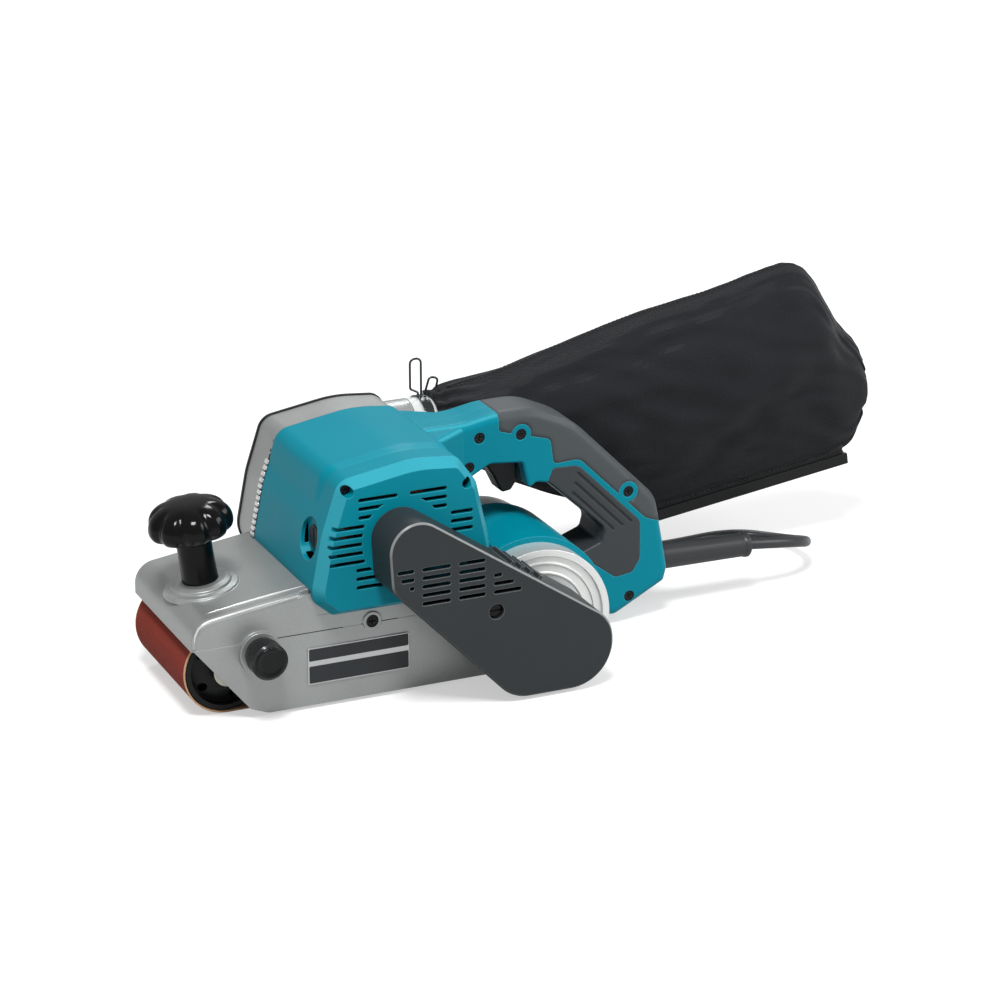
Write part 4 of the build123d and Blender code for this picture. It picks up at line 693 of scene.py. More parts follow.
@dataclass(frozen=True)
class Studio:
    """Floor, soft light and camera.

    Attributes:
        camera: Where the camera stands, in metres.
        target: The point that it and the lamps face.
        lens_mm: Its focal length on a sensor of sensor_mm.
        sensor_mm: Width of that sensor.
        lamps: Name, place, side in metres and power in watts of each soft box.
        floor_m: Side of the floor.
        floor_gap: How far the floor lies under the part, in metres.
        sweep_m: Distances between which the floor turns from paper to pure white.
    """

    camera: Point = (-0.767854, -1.960498, 0.888999)
    target: Point = (0.09313, -0.04276, 0.11631)
    lens_mm: float = 120.0
    sensor_mm: float = 36.0
    lamps: tuple[tuple[str, Point, float, float], ...] = (
        ("key", (-0.5, -1.0, 2.3), 0.6, 58.0),
        ("fill", (1.9, -1.0, 1.2), 1.1, 26.0),
        ("rim", (0.9, 1.6, 1.9), 0.5, 12.0),
    )
    floor_m: float = 14.0
    floor_gap: float = 0.0005
    sweep_m: Pair = (0.9, 1.7)

    def build(self) -> None:
        """Makes the camera, the lamps, the world and the floor."""
        lens = bpy.data.cameras.new("camera")
        lens.lens = self.lens_mm
        lens.sensor_width = self.sensor_mm
        lens.clip_end = 50.0
        bpy.context.scene.camera = self._stand("camera", lens, self.camera)
        for name, place, size, watts in self.lamps:
            box = bpy.data.lights.new(name, "AREA")
            box.size = size
            box.energy = watts
            self._stand(name, box, place)
        self._world()
        self._floor()
        log.info("studio ready")

    def _stand(self, name: str, data: bpy.types.ID, place: Point) -> bpy.types.Object:
        """Stands a camera or a lamp at a place, facing the target.

        Args:
            name: The object's name.
            data: The camera or lamp.
            place: Where it stands, in metres.

        Returns:
            The object.
        """
        made = add_object(name, data)
        made.location = place
        made.rotation_mode = "QUATERNION"
        made.rotation_quaternion = (Vector(self.target) - Vector(place)).to_track_quat("-Z", "Y")
        return made

    def _seen(self, tree: Tree) -> tuple[Socket, Socket]:
        """Masks of the rays that look at a surface and of those that it is mirrored in.

        Args:
            tree: The node tree to add to.

        Returns:
            1 for rays that see it directly or through glass, and 1 for mirrored rays.
        """
        path = add_node(tree, "LightPath").outputs
        seen = calc(tree, "MAXIMUM", path["Is Camera Ray"], path["Is Transmission Ray"])
        return seen, path["Is Glossy Ray"]

    def _world(self) -> None:
        """Even pale surroundings: white where they are seen, softer where they only give light."""
        world = bpy.data.worlds.new("surroundings")
        tree = empty_tree(world)
        strength = remap(tree, self._seen(tree)[0], to=(0.42, 1.0))
        light = add_node(tree, "Background", {"Color": WHITE, "Strength": strength})
        add_node(tree, "OutputWorld", {"Surface": light.outputs[0]})
        bpy.context.scene.world = world

    def _floor(self) -> None:
        """A pale matt floor that keeps the object's shadow and turns pure white away from it."""
        half = self.floor_m / 2
        mesh = bpy.data.meshes.new("floor")
        corners = [(x * half, y * half, 0) for x, y in ((-1, -1), (1, -1), (1, 1), (-1, 1))]
        mesh.from_pydata(corners, [], [(0, 1, 2, 3)])
        material = bpy.data.materials.new("pale_paper_sweep")
        tree = empty_tree(material)
        seen, mirrored = self._seen(tree)
        place = add_node(tree, "NewGeometry").outputs["Position"]
        away = add_node(tree, "VectorMath", {0: place}, operation="LENGTH").outputs["Value"]
        sweep = remap(tree, away, across=self.sweep_m, to=(0.5, 1.0))
        lift = calc(tree, "MULTIPLY_ADD", seen, sweep, calc(tree, "MULTIPLY", mirrored, 0.15))
        paper = add_node(tree, "BsdfDiffuse", {"Color": (0.55, 0.55, 0.55, 1)})
        glow = add_node(tree, "Emission", {"Color": WHITE, "Strength": lift})
        both = add_node(tree, "AddShader", {0: paper.outputs[0], 1: glow.outputs[0]})
        add_node(tree, "OutputMaterial", {"Surface": both.outputs[0]})
        mesh.materials.append(material)
        made = add_object("floor", mesh)
        made.location.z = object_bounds()[0].z - self.floor_gap
        made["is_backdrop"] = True


# ---- mains lead ----

@dataclass(frozen=True)
class MainsLead:
    """The rubber lead: from its sleeve round behind the tool into a neat coil, with its plug.

    Attributes:
        diameter: Sheath diameter, in mm as all the sizes here.
        floor_z: Height of the centreline where the lead lies on the floor.
        coil_centre: Middle of the coil.
        coil_radius: Radius of the outermost turn's centreline.
        coil_turns: Turns in each of its two layers.
        pitch: Distance between turns.
        rise: Height of the upper layer over the lower one.
        turn_points: Control points in each turn.
        route: Control points of the free run.
        length: Length of the lead, in metres; not used.
        plug_rest: Height of the plug's middle where it touches the floor.
        plug_reach: Distance from the lead to that point.
        pin: Length, width and thickness of a pin.
        pin_place: Distance of a pin's middle along the plug and to its side.
        pin_bevel: Width of its rounded edges.
    """

    diameter: float = 8.0
    floor_z: float = 4.1
    coil_centre: Pair = (64.0, 173.0)
    coil_radius: float = 57.0
    coil_turns: float = 3.0
    pitch: float = 8.5
    rise: float = 8.6
    turn_points: int = 16
    route: tuple[Point, ...] = (
        (306.0, 0.0, 36.3), (345.0, 0.5, 32.0), (375.0, 29.0, 17.5), (377.0, 71.0, 4.1), (347.0, 101.0, 4.1),
        (290.0, 95.0, 4.1), (232.0, 99.0, 4.1), (176.0, 92.0, 4.1), (124.0, 116.0, 4.1), (72.0, 116.0, 4.1),
    )
    length: float = 2.19
    plug_rest: float = 8.2
    plug_reach: float = 68.0
    pin: Point = (17.0, 6.3, 1.9)
    pin_place: Pair = (76.7, 6.35)
    pin_bevel: float = 0.35

    def coil(self) -> list[Point]:
        """Control points of the coil: inward on the floor, then outward on top."""
        last_half = self.coil_turns * 2
        total = 2 * last_half + 1
        steps = round(total / 2 * self.turn_points)
        points = []
        for i in range(steps + 1):
            half = i / steps * total
            climb = min(1.0, max(0.0, half - last_half))
            inward = min(half, last_half)
            outward = max(0.0, half - last_half - 1)
            radius = self.coil_radius - inward * self.pitch / 2 + outward * self.pitch / 2
            angle = -math.pi / 2 - math.pi * half
            points.append((
                self.coil_centre[0] + radius * math.cos(angle),
                self.coil_centre[1] + radius * math.sin(angle),
                self.floor_z + self.rise * climb,
            ))
        return points

    def build(self) -> None:
        points = [*self.route, *self.coil()]
        x, y, z = points[-1]
        points.append((x + self.diameter, y, z))
        lead = nurbs_line("mains_lead", [tuple(v * MM for v in p) for p in points], self.diameter / 2 * MM)
        lead.data.materials.append(CORD_RUBBER.material())
        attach(lead, "machine")
        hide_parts("power_cord", "cord_coil")
        log.info("mains lead rides on machine")
        self._blades(Vector(points[-1]))

    def _blades(self, start: Vector) -> None:
        """Sheathes the plug's two flat pins in brass.

        Args:
            start: Where the lead enters the plug, in mm.
        """
        lean = Matrix.Rotation(math.asin((start.z - self.plug_rest) / self.plug_reach), 4, "Y")
        ahead, aside = self.pin_place
        bm = bmesh.new()
        for side in (-1, 1):
            made = bmesh.ops.create_cube(bm, size=1.0)["verts"]
            bmesh.ops.scale(bm, vec=self.pin, verts=made)
            bmesh.ops.translate(bm, vec=(ahead, side * aside, 0.0), verts=made)
        bmesh.ops.bevel(bm, geom=bm.edges[:], offset=self.pin_bevel, segments=2, affect="EDGES")
        bmesh.ops.transform(bm, matrix=Matrix.Translation(start) @ lean, verts=bm.verts)
        bmesh.ops.scale(bm, vec=(MM, MM, MM), verts=bm.verts)
        piece("plug_blades", bm, ROLLED_BRASS, smooth=False)


# ---- front end ----

@dataclass(frozen=True)
class FrontKnob:
    """Domed knob with rounded lobes on a straight stem, moulded in one.

    Attributes:
        foot: Middle of the stem's foot, in mm.
        lean: Angle of the stem forward of upright, in degrees.
        lobes: Number of lobes.
        groove: Depth of the grooves between them, in mm.
        sharpness: How narrow the grooves are against the lobes.
        drop: How far a groove sinks the top of the dome, in mm.
        inner: Radii between which the grooves run out on the dome, in mm.
        head: Height over which there are grooves, and over which they sink the dome, in mm.
        profile: Radius and height of its outline from the foot to the top, in mm.
        steps: Rings for each span of the outline.
        around: Points round each ring.
    """

    foot: Point = (-108.6, -10.0, 75.668)
    lean: float = 7.97
    lobes: int = 9
    groove: float = 2.4
    sharpness: float = 2.2
    drop: float = 0.7
    inner: Pair = (13.0, 26.0)
    head: Pair = (36.0, 47.0)
    profile: tuple[Pair, ...] = (
        (12.4, 5.0), (12.4, 5.6), (12.2, 7.6), (12.0, 12.0), (11.8, 20.0), (11.9, 30.0), (12.6, 34.6),
        (15.2, 36.8), (19.0, 37.6), (23.4, 38.2), (26.6, 40.0), (28.3, 43.2), (28.5, 46.6),
        (27.7, 50.4), (25.5, 54.2), (22.0, 57.2), (17.2, 59.3), (11.6, 60.5), (6.0, 61.0), (0.6, 61.1),
    )
    steps: int = 4
    around: int = 162

    def build(self) -> None:
        """Makes the knob in the place of its solid."""
        place = Matrix.Translation(self.foot) @ Matrix.Rotation(math.radians(-self.lean), 4, "Y")
        low, high = self.inner
        rows = []
        for n in range(self.steps * (len(self.profile) - 1) + 1):
            radius, height = curve_point(self.profile, n / self.steps)
            fade = eased((radius - low) / (high - low)) if height > self.head[0] else 0.0
            drop = self.drop if height > self.head[1] else 0.0
            row = []
            for angle in turns(self.around):
                dip = fade * (0.5 + 0.5 * math.cos(self.lobes * angle)) ** self.sharpness
                reach = radius - self.groove * dip
                point = Vector((reach * math.cos(angle), reach * math.sin(angle), height - drop * dip))
                row.append((place @ point) * MM)
            rows.append(row)
        knob = skin("knob_lobed", rows, PHENOLIC_BLACK)
        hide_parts("front_knob")


@dataclass(frozen=True)
class NoseCasting:
    """Fine cast lines on the nose, drawn pale as a painted highlight, the web in its corner, and a black
    strip that paints the shadow in the gap under its edge.

    Attributes:
        rim: Outline of the rim seen from the side, in mm.
        rim_y: Y of the bead along the rim, in mm.
        step: Ends along X of the step on the nose's top, in mm.
        step_y: Y of the step at those ends, in mm.
        step_points: Points along the step.
        step_lift: How far its bead's middle lies over the casting, in mm.
        above: Height from which the casting is felt for, in mm.
        bead: Radius of the bead, in mm.
        around: Points round the bead.
        web: Outline of the web that closes the corner against the housing, in mm.
        web_y: Faces of that web, in mm.
        seam: Ends along X, and height, of the black strip that paints the shadow in the gap between the
            casting and the plate under it, in mm.
        seam_size: Height and depth of that strip, in mm.
        seam_proud: How far it lies before the web's face, in mm.
    """

    rim: tuple[Pair, ...] = (
        (-133.4, 56.0), (-133.3, 60.0), (-132.6, 64.5), (-130.4, 68.6), (-126.9, 71.2), (-122.5, 72.7),
        (-112.0, 74.3), (-100.0, 76.0), (-85.0, 78.1), (-72.0, 79.9), (-59.0, 81.7),
    )
    rim_y: float = -65.4
    step: Pair = (-122.0, -51.0)
    step_y: Pair = (-54.5, -56.8)
    step_points: int = 25
    step_lift: float = 0.1
    above: float = 130.0
    bead: float = 1.0
    around: int = 10
    web: tuple[Pair, ...] = (
        (-62.0, 79.5), (-58.5, 81.2), (-52.5, 80.5), (-46.0, 71.5), (-38.0, 64.0), (-36.0, 60.0),
        (-50.0, 60.0),
    )
    web_y: Pair = (-66.96, -62.0)
    seam: tuple[Point, ...] = ((-80.0, -31.0, 54.0), (-18.0, 8.0, 54.0))
    seam_size: Pair = (0.55, 0.5)
    seam_proud: float = 0.07

    def build(self, casting: bpy.types.Object) -> None:
        """Lays both beads, the corner web and the seam's painted shadow strip on the casting.

        Args:
            casting: The casting's node.
        """
        rim = [Vector((x, self.rim_y, z)) * MM for x, z in self.rim]
        self._bead("nose_rim_bead", rim)
        line = []
        for i in range(self.step_points):
            share = i / (self.step_points - 1)
            x, y = (a + share * (b - a) for a, b in (self.step, self.step_y))
            hit, point, _, _ = casting.ray_cast(Vector((x, y, self.above)) * MM, Vector((0, 0, -1)))
            if hit:
                line.append(point + Vector((0, 0, self.step_lift * MM)))
        self._bead("nose_step_bead", line)
        rows = [[Vector((x, y, z)) * MM for x, z in self.web] for y in self.web_y]
        web = skin("nose_corner_web", rows, CAST_ALUMINIUM, smooth=False)
        tall, deep = self.seam_size
        face = self.web_y[0] - self.seam_proud
        for n, (start, end, z) in enumerate(self.seam, 1):
            low, high = z - tall / 2, z + tall / 2
            outline = ((start, low), (start, high), (end, high), (end, low))
            rows = [[Vector((x, y, up)) * MM for x, up in outline] for y in (face, face + deep)]
            # A black strip in the seam: painted shadow.
            painted_seam_shadow = skin(f"frame_seam_shadow_{n}", rows, NYLON_BLACK, smooth=False)

    def _bead(self, name: str, line: list[Vector]) -> bpy.types.Object:
        """A low round bead along a line, thinning out at both ends.

        Args:
            name: The piece's name.
            line: Its points, in metres.

        Returns:
            The piece.
        """
        last = len(line) - 1
        rows = []
        for i, point in enumerate(line):
            along = (line[min(i + 1, last)] - line[max(i - 1, 0)]).normalized()
            side = along.cross(Vector((0, 1, 0))).normalized()
            across = side.cross(along).normalized()
            ends = min(1.0, 0.08 + 3.0 * min(i, last - i) / len(line))
            radius = self.bead * ends * MM
            rows.append([point + (side * math.cos(a) + across * math.sin(a)) * radius
                         for a in turns(self.around)])
        # The bead's pale finish paints a highlight along it.
        return skin(name, rows, PAINTED_HIGHLIGHT_ALUMINIUM)


@dataclass(frozen=True)
class TrackingCap:
    """Raised ring and dished middle on the outer face of the tracking screw's cap.

    Attributes:
        face: Y of the cap's face, in mm.
        profile: Radius and height over that face of the ring's outline, in mm.
        around: Points round the ring.
    """

    face: float = -88.0
    profile: tuple[Pair, ...] = (
        (0.5, 0.1), (5.0, 0.1), (7.4, 0.2), (8.2, 0.8), (9.0, 1.1), (10.0, 1.1), (10.7, 0.7), (10.9, -0.3),
    )
    around: int = 72

    def build(self) -> None:
        """Puts the ring on the cap."""
        low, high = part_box("tracking_knob")
        x, z = (low.x + high.x) / 2 / MM, (low.z + high.z) / 2 / MM
        rows = [[Vector((x + radius * math.cos(a), self.face - rise, z + radius * math.sin(a))) * MM
                 for a in turns(self.around)] for radius, rise in self.profile]
        ring = skin("tracking_cap_ring", rows, NYLON_GLOSS, "tracking_knob_body")


@dataclass(frozen=True)
class VentComb:
    """Row of small cast teeth at the joint of the fan housing, drawn pale as a painted highlight, over a
    black strip that paints the shadow in its slot.

    Attributes:
        span: Lowest and highest point of the row, in mm.
        slot: Ends along Y of the slot, and of the black strip that paints its shadow, in mm.
        slot_points: Sections along the slot.
        tooth: Ends of a tooth along Y, in mm.
        proud: How far the shadow strip and the teeth stand out of the wall, in mm.
        thick: Thickness of both, in mm.
        pitch: Distance from tooth to tooth, in mm.
        height: Height of a tooth, in mm.
        bevel: Width of its rounded edges, in mm.
        probe: X and Y from which the housing's wall is felt for, in mm.
    """

    span: Pair = (84.0, 142.0)
    slot: Pair = (37.6, 40.6)
    slot_points: int = 30
    tooth: Pair = (38.0, 43.6)
    proud: Pair = (0.15, 1.1)
    thick: float = 2.0
    pitch: float = 4.2
    height: float = 2.8
    bevel: float = 0.35
    probe: Pair = (-150.0, 45.0)

    def build(self, housing: bpy.types.Object) -> None:
        """Lays the black strip that paints the slot's shadow, and the teeth, along the housing's wall.

        Args:
            housing: The fan housing's node.
        """
        low, high = self.span
        step = (high - low) / (self.slot_points - 1)
        rows = [self._section(housing, low + step * i, self.slot, self.proud[0])
                for i in range(self.slot_points)]
        # A black strip in the slot: painted shadow.
        strip = skin("vent_comb_painted_shadow", rows, NYLON_BLACK, smooth=False)
        bm = bmesh.new()
        for n in range(int((high - low) / self.pitch)):
            z = low + self.pitch * (n + 0.5)
            add_rows(bm, [self._section(housing, z + dz, self.tooth, self.proud[1])
                          for dz in (-self.height / 2, self.height / 2)])
        bmesh.ops.bevel(bm, geom=bm.edges[:], offset=self.bevel * MM, segments=2, affect="EDGES")
        piece("vent_comb_teeth", bm, PAINTED_HIGHLIGHT_ALUMINIUM, smooth=False)

    def _section(self, housing: bpy.types.Object, z: float, across: Pair, proud: float) -> list[Vector]:
        """Four corners of a bar on the wall at one height.

        Args:
            housing: The fan housing's node.
            z: The height, in mm.
            across: The bar's ends along Y, in mm.
            proud: How far it stands out, in mm.

        Returns:
            The corners, in metres.
        """
        point = housing.ray_cast(Vector((*self.probe, z)) * MM, Vector((1, 0, 0)))[1]
        x = point.x / MM - proud
        near, far = across
        return [Vector((a, b, z)) * MM
                for a, b in ((x, near), (x, far), (x + self.thick, far), (x + self.thick, near))]


@dataclass(frozen=True)
class HousingShoulder:
    """Swelling of the motor housing behind its vented frame, with a soft ledge all round.

    Attributes:
        axis: X and Z that the swelling goes round, in mm.
        sweep: First and last direction from that axis, in degrees from +X.
        fade: Share of the sweep over which it runs out at either end.
        across: Along Y: where it starts, is full, is still full and ends, in mm.
        height: How far its full part lies over its edge, in mm.
        sunk: How far its edge lies under the housing's wall, in mm.
        probe: Distance from the axis at which the wall is felt for, in metres.
        columns: Points along Y.
        rings: Points round the axis.
    """

    axis: Pair = (10.0, 110.0)
    sweep: Pair = (38.0, 158.0)
    fade: float = 0.2
    across: tuple[float, float, float, float] = (-56.0, -45.0, 36.0, 39.6)
    height: float = 2.2
    sunk: float = 0.15
    probe: float = 0.2
    columns: int = 60
    rings: int = 110

    def build(self, housing: bpy.types.Object) -> None:
        """Lays the swelling on the housing.

        Args:
            housing: The motor housing's node.
        """
        start, full, still, end = self.across
        rows = []
        for i in range(self.rings):
            share = i / (self.rings - 1)
            turn = math.radians(self.sweep[0] + share * (self.sweep[1] - self.sweep[0]))
            out = Vector((math.cos(turn), 0, math.sin(turn)))
            fade = eased(min(share, 1 - share) / self.fade)
            row = []
            for j in range(self.columns):
                y = start + (end - start) * j / (self.columns - 1)
                rise = eased(min((y - start) / (full - start), (end - y) / (end - still))) * fade
                origin = Vector((self.axis[0], y, self.axis[1])) * MM + out * self.probe
                point = housing.ray_cast(origin, -out)[1]
                row.append(point + out * ((self.height * rise - self.sunk) * MM))
            rows.append(row)
        shoulder = skin("housing_shoulder", rows, TEAL_NYLON, closed=False)


# ---- nameplate ----

@dataclass(frozen=True)
class Nameplate:
    """Printed fields on the foil plate: dark, with a bare band across, and no words.

    Attributes:
        margin: Bare foil round the print, in mm.
        bands: Printed fields as shares of the height between the margins.
        corner: Corner radius of a field, in mm.
        corner_steps: Edges that round a corner.
        ink: Thickness of the ink, in mm, drawn thick enough not to flicker.
        sunk: How far it reaches into the foil, in mm.
    """

    margin: float = 0.8
    bands: tuple[Pair, ...] = ((0.0, 0.5), (0.65, 1.0))
    corner: float = 0.8
    corner_steps: int = 4
    ink: float = 0.04
    sunk: float = 0.01

    def build(self) -> None:
        """Prints the fields on the plate's face."""
        low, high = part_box("nameplate")
        x0, x1 = low.x / MM + self.margin, high.x / MM - self.margin
        z0, z1 = low.z / MM + self.margin, high.z / MM - self.margin
        bm = bmesh.new()
        for start, stop in self.bands:
            self._field(bm, (x0, x1), (z0 + start * (z1 - z0), z0 + stop * (z1 - z0)), low.y / MM)
        piece("nameplate_print", bm, PLATE_INK, smooth=False)

    def _field(self, bm: bmesh.types.BMesh, across: Pair, up: Pair, face: float) -> None:
        """Adds one field with rounded corners.

        Args:
            bm: The mesh to add to.
            across: Its ends along X, in mm.
            up: Its ends along Z, in mm.
            face: Y of the plate's face, in mm.
        """
        ring = []
        for quarter, (right, top) in enumerate(((1, 1), (0, 1), (0, 0), (1, 0))):
            x = across[right] - (2 * right - 1) * self.corner
            z = up[top] - (2 * top - 1) * self.corner
            for k in range(self.corner_steps + 1):
                angle = math.pi / 2 * (quarter + k / self.corner_steps)
                ring.append((x + self.corner * math.cos(angle), z + self.corner * math.sin(angle)))
        front, back = ([bm.verts.new(Vector((x, face + y, z)) * MM) for x, z in ring]
                       for y in (-self.ink, self.sunk))
        bm.faces.new(front)
        for i, a in enumerate(front):
            j = (i + 1) % len(front)
            bm.faces.new((a, back[i], back[j], front[j]))
        bmesh.ops.recalc_face_normals(bm, faces=bm.faces)


# ---- dust bag ----

@dataclass(frozen=True)
class Crease:
    """One size of creases in hanging cloth, in mm.

    Attributes:
        depth: How far they stand out.
        along: Their size along the bag.
        panels: How differently they run over the bag's two panels.
        up: Their size in height.
        slant: Length along the bag over which they shift by that height.
    """

    depth: float
    along: float
    panels: float
    up: float
    slant: float = math.inf

    def at(self, x: float, z: float, side: float) -> float:
        """How far the cloth stands out at a point, in mm.

        Args:
            x: Distance of the point along the bag.
            z: Its height.
            side: -1 to 1, from panel to panel.

        Returns:
            The offset.
        """
        place = Vector((x / self.along, self.panels * side, z / self.up + x / self.slant))
        return self.depth * noise.noise(place)


@dataclass(frozen=True)
class DustBag:
    """Cloth bag of two side panels, gathered on its neck and closed by a strip along the bottom.

    Attributes:
        stations: Along the bag: distance, lower edge, upper edge, middle and thickness, in mm.
        lens: Power and root of the section's curve, below and above the middle; 2 and 0.5 is a circle.
        neck_run: Length of the gathered neck, in mm.
        cinch: Share, place and width of the pinch that holds the neck, the last two in mm.
        creases: Creases of three sizes.
        calm: Share by which they are flatter at the neck.
        gathers: Folds round the neck.
        gather: Depth of those folds, in mm.
        rail: Ends of the line that the closing strip follows, as distance and height, in mm.
        middle: Y of the strip, in mm.
        hem: How far the flat hem stands below and above that line, in mm.
        hem_points: Rings along the hem.
        rings: Rings along the bag.
        around: Points round each ring.
        seam_start: Ring at which the top seam starts.
        stitch: Length, pitch and thickness of a stitch, in mm.
        beside: Columns of the cloth from the top seam to the stitches along it.
        stitched: First and last ring of those stitches.
    """

    stations: tuple[tuple[float, float, float, float, float], ...] = (
        (87.0, 119.0, 162.0, 62.0, 44.0),
        (104.0, 112.0, 164.0, 66.0, 48.0),
        (140.0, 90.0, 166.5, 72.0, 54.0),
        (190.0, 66.0, 178.5, 75.0, 57.0),
        (250.0, 46.5, 194.0, 75.0, 58.0),
        (310.0, 50.4, 204.5, 75.0, 58.0),
        (352.0, 56.2, 214.5, 75.0, 55.0),
        (374.0, 59.2, 217.0, 75.0, 50.0),
        (392.0, 61.7, 206.0, 75.0, 44.0),
        (415.0, 65.0, 169.5, 75.0, 34.0),
        (432.0, 72.0, 150.0, 75.0, 24.0),
        (440.0, 88.0, 134.0, 75.0, 16.0),
    )
    lens: tuple[Pair, Pair] = ((1.5, 1.0), (2.6, 0.62))
    neck_run: float = 110.0
    cinch: Point = (0.07, 93.5, 2.6)
    creases: tuple[Crease, ...] = (
        Crease(4.4, 95.0, 3.0, 26.0, -120.0),
        Crease(2.4, 34.0, 5.0, 12.0, 60.0),
        Crease(1.8, 26.0, 9.0, 60.0),
    )
    calm: float = 0.35
    gathers: int = 15
    gather: float = 2.6
    rail: tuple[Pair, Pair] = ((269.0, 40.0), (428.0, 62.0))
    middle: float = 75.0
    hem: Pair = (-2.0, 10.0)
    hem_points: int = 81
    rings: int = 150
    around: int = 128
    seam_start: int = 12
    stitch: Point = (2.3, 3.4, 0.32)
    beside: int = 2
    stitched: tuple[int, int] = (14, -4)

    def ring(self, share: float) -> list[Vector]:
        """One ring of the cloth: round at the neck, and a lens pinched to its hem further back.

        Args:
            share: How far along the bag.

        Returns:
            Points round the ring, in metres.
        """
        x, low, high, middle, thick = curve_point(self.stations, share * (len(self.stations) - 1))
        neck = max(0.0, 1 - (x - self.stations[0][0]) / self.neck_run)
        pinch, place, width = self.cinch
        cinch = 1 - pinch * math.exp(-((x - place) / width) ** 2)
        points = []
        for angle in turns(self.around):
            side, up = math.sin(angle), math.cos(angle)
            curve = self.lens[0] if up < 0 else self.lens[1]
            power, root = (v + (circle - v) * neck for v, circle in zip(curve, (2.0, 0.5)))
            lens = max(0.0, 1 - abs(up) ** power) ** root
            y = middle + math.copysign(lens, side) * thick / 2 * cinch
            z = (low + high) / 2 + up * (high - low) / 2 * cinch
            fold = self._fold(x, z, angle, neck)
            points.append(Vector((x, y + fold * side, z + 0.6 * fold * up * neck)) * MM)
        return points

    def _fold(self, x: float, z: float, angle: float, neck: float) -> float:
        """How far the cloth stands out of its smooth form at a point, in mm.

        Args:
            x: Distance of the point.
            z: Its height.
            angle: Its place round the ring.
            neck: 1 at the neck, 0 beyond the gathers.

        Returns:
            The offset.
        """
        gather = self.gather * neck ** 1.1 * math.sin(self.gathers * angle + 1.4 * math.sin(x / 16))
        side = math.sin(angle)
        return gather + (1 - self.calm * neck) * sum(crease.at(x, z, side) for crease in self.creases)

    def build(self) -> None:
        """Makes the cloth with its hem and seams and puts it in the place of its solid."""
        rows = [self.ring(i / (self.rings - 1)) for i in range(self.rings)]
        cloth = skin("bag_cloth", rows, BAG_CLOTH, "bag_body")
        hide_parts("dust_bag")
        hem = skin("bag_hem", self._hem(), BAG_TAPE, "bag_body")
        seam = skin("bag_top_seam", self._seam(rows), BAG_TAPE, "bag_body")
        stitches = piece("bag_stitches", self._stitches(rows), BAG_THREAD, "bag_body")

    def _along(self, share: float, rise: float, y: float) -> Vector:
        """Point over the closing strip's line.

        Args:
            share: How far along the line, 0 to 1.
            rise: Height over it, in mm.
            y: Y of the point, in mm.

        Returns:
            The point, in metres.
        """
        (x0, z0), (x1, z1) = self.rail
        length = math.hypot(x1 - x0, z1 - z0)
        return Vector((x0 + share * (x1 - x0) - rise * (z1 - z0) / length, y,
                       z0 + share * (z1 - z0) + rise * (x1 - x0) / length)) * MM

    def _hem(self) -> list[list[Vector]]:
        """Rings of the flat folded hem that the strip holds, a little wavy along its upper edge."""
        low, high = self.hem
        half = ((low, -0.8), (2.0, -0.8), (high - 3, -1.1), (high, -1.9))
        section = (*half, *((rise, -y) for rise, y in reversed(half)))
        rows = []
        for i in range(self.hem_points):
            share = 0.012 + 0.976 * i / (self.hem_points - 1)
            wave = 0.35 * math.sin(i * 0.55) + 0.5 * noise.noise(Vector((i / 7, 0.3, 0.0)))
            rows.append([self._along(share, rise, self.middle + y + 0.3 * wave) for rise, y in section])
        return rows

    def _seam(self, rows: list[list[Vector]]) -> list[list[Vector]]:
        """Rings of the rolled seam along the top of the bag, where its two panels meet.

        Args:
            rows: The cloth's rings.

        Returns:
            The seam's rings.
        """
        sideways = Vector((0, 1, 0))
        tube = []
        for i in range(self.seam_start, len(rows) - 1):
            out = (rows[i + 1][0] - rows[i - 1][0]).normalized().cross(sideways).normalized()
            radius = (0.95 + 0.2 * math.sin((i - self.seam_start) * 0.9)) * MM
            tube.append([rows[i][0] + out * (radius * math.cos(a) * 0.8) + sideways * (radius * math.sin(a))
                         for a in turns(8)])
        return tube

    def _stitches(self, rows: list[list[Vector]]) -> bmesh.types.BMesh:
        """Two rows of stitches beside the top seam, and one along each side of the hem.

        Args:
            rows: The cloth's rings.

        Returns:
            The stitches.
        """
        bm = bmesh.new()
        first, last = self.stitched
        for side in (1, -1):
            line = [row[side * self.beside] for row in rows[first:last]]
            self._stitch_line(bm, line, Vector((0, side * 0.5, 0.85)))
        for side in (-1, 1):
            line = [self._along(0.02 + 0.96 * i / 60, self.hem[1] - 4.5, self.middle + side * 1.15)
                    for i in range(61)]
            self._stitch_line(bm, line, Vector((0, side, 0)))
        return bm

    def _stitch_line(self, bm: bmesh.types.BMesh, line: list[Vector], out: Vector) -> None:
        """Adds stitches along a line on the cloth.

        Args:
            bm: The mesh to add to.
            line: Points of the line, in metres.
            out: Direction away from the cloth.
        """
        length, pitch, thick = (v * MM for v in self.stitch)
        spare = 0.0
        for a, b in zip(line, line[1:]):
            run = (b - a).length
            along = (b - a).normalized()
            across = along.cross(out).normalized()
            up = across.cross(along).normalized()
            while spare < run:
                start = a + along * spare + out * (0.2 * MM)
                middle = start + along * length / 2
                ends = [bm.verts.new(start), bm.verts.new(start + along * length)]
                belt = [bm.verts.new(middle + (across * math.cos(t) + up * math.sin(t)) * thick)
                        for t in turns(6)]
                for k, vert in enumerate(belt):
                    after = belt[(k + 1) % len(belt)]
                    bm.faces.new((ends[0], vert, after))
                    bm.faces.new((ends[1], after, vert))
                spare += pitch
            spare -= run


# ---- putting it together ----


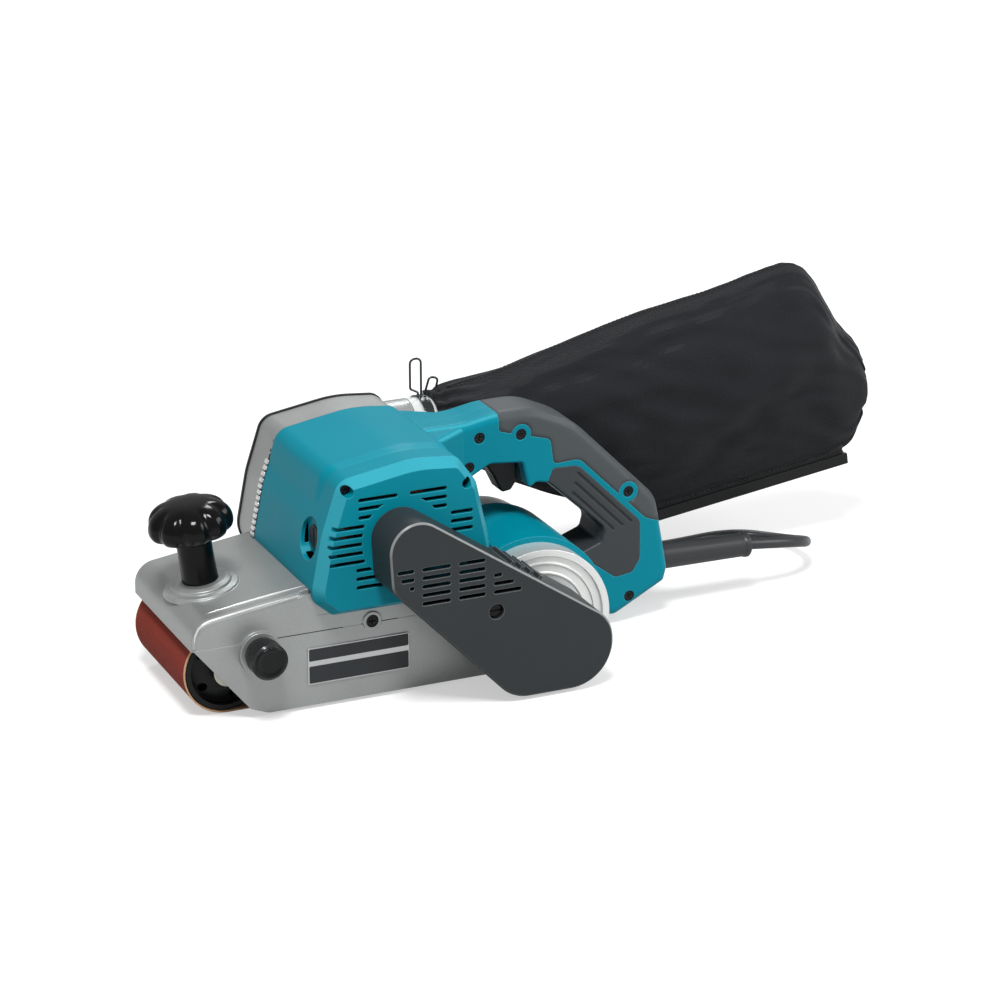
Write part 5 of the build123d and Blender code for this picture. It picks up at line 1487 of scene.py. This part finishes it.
def main() -> None:
    """Builds the scene in order."""
    logging.basicConfig(level=logging.INFO, format="%(message)s")
    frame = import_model()
    bpy.context.scene.view_settings.view_transform = "Standard"
    Studio().build()
    MainsLead().build()
    dress_nodes(frame["nodes"])
    FrontKnob().build()
    NoseCasting().build(frame["nodes"]["main_frame"])
    TrackingCap().build()
    VentComb().build(frame["nodes"]["fan_housing"])
    HousingShoulder().build(frame["nodes"]["motor_housing"])
    Nameplate().build()
    DustBag().build()


if __name__ == "__main__":
    main()
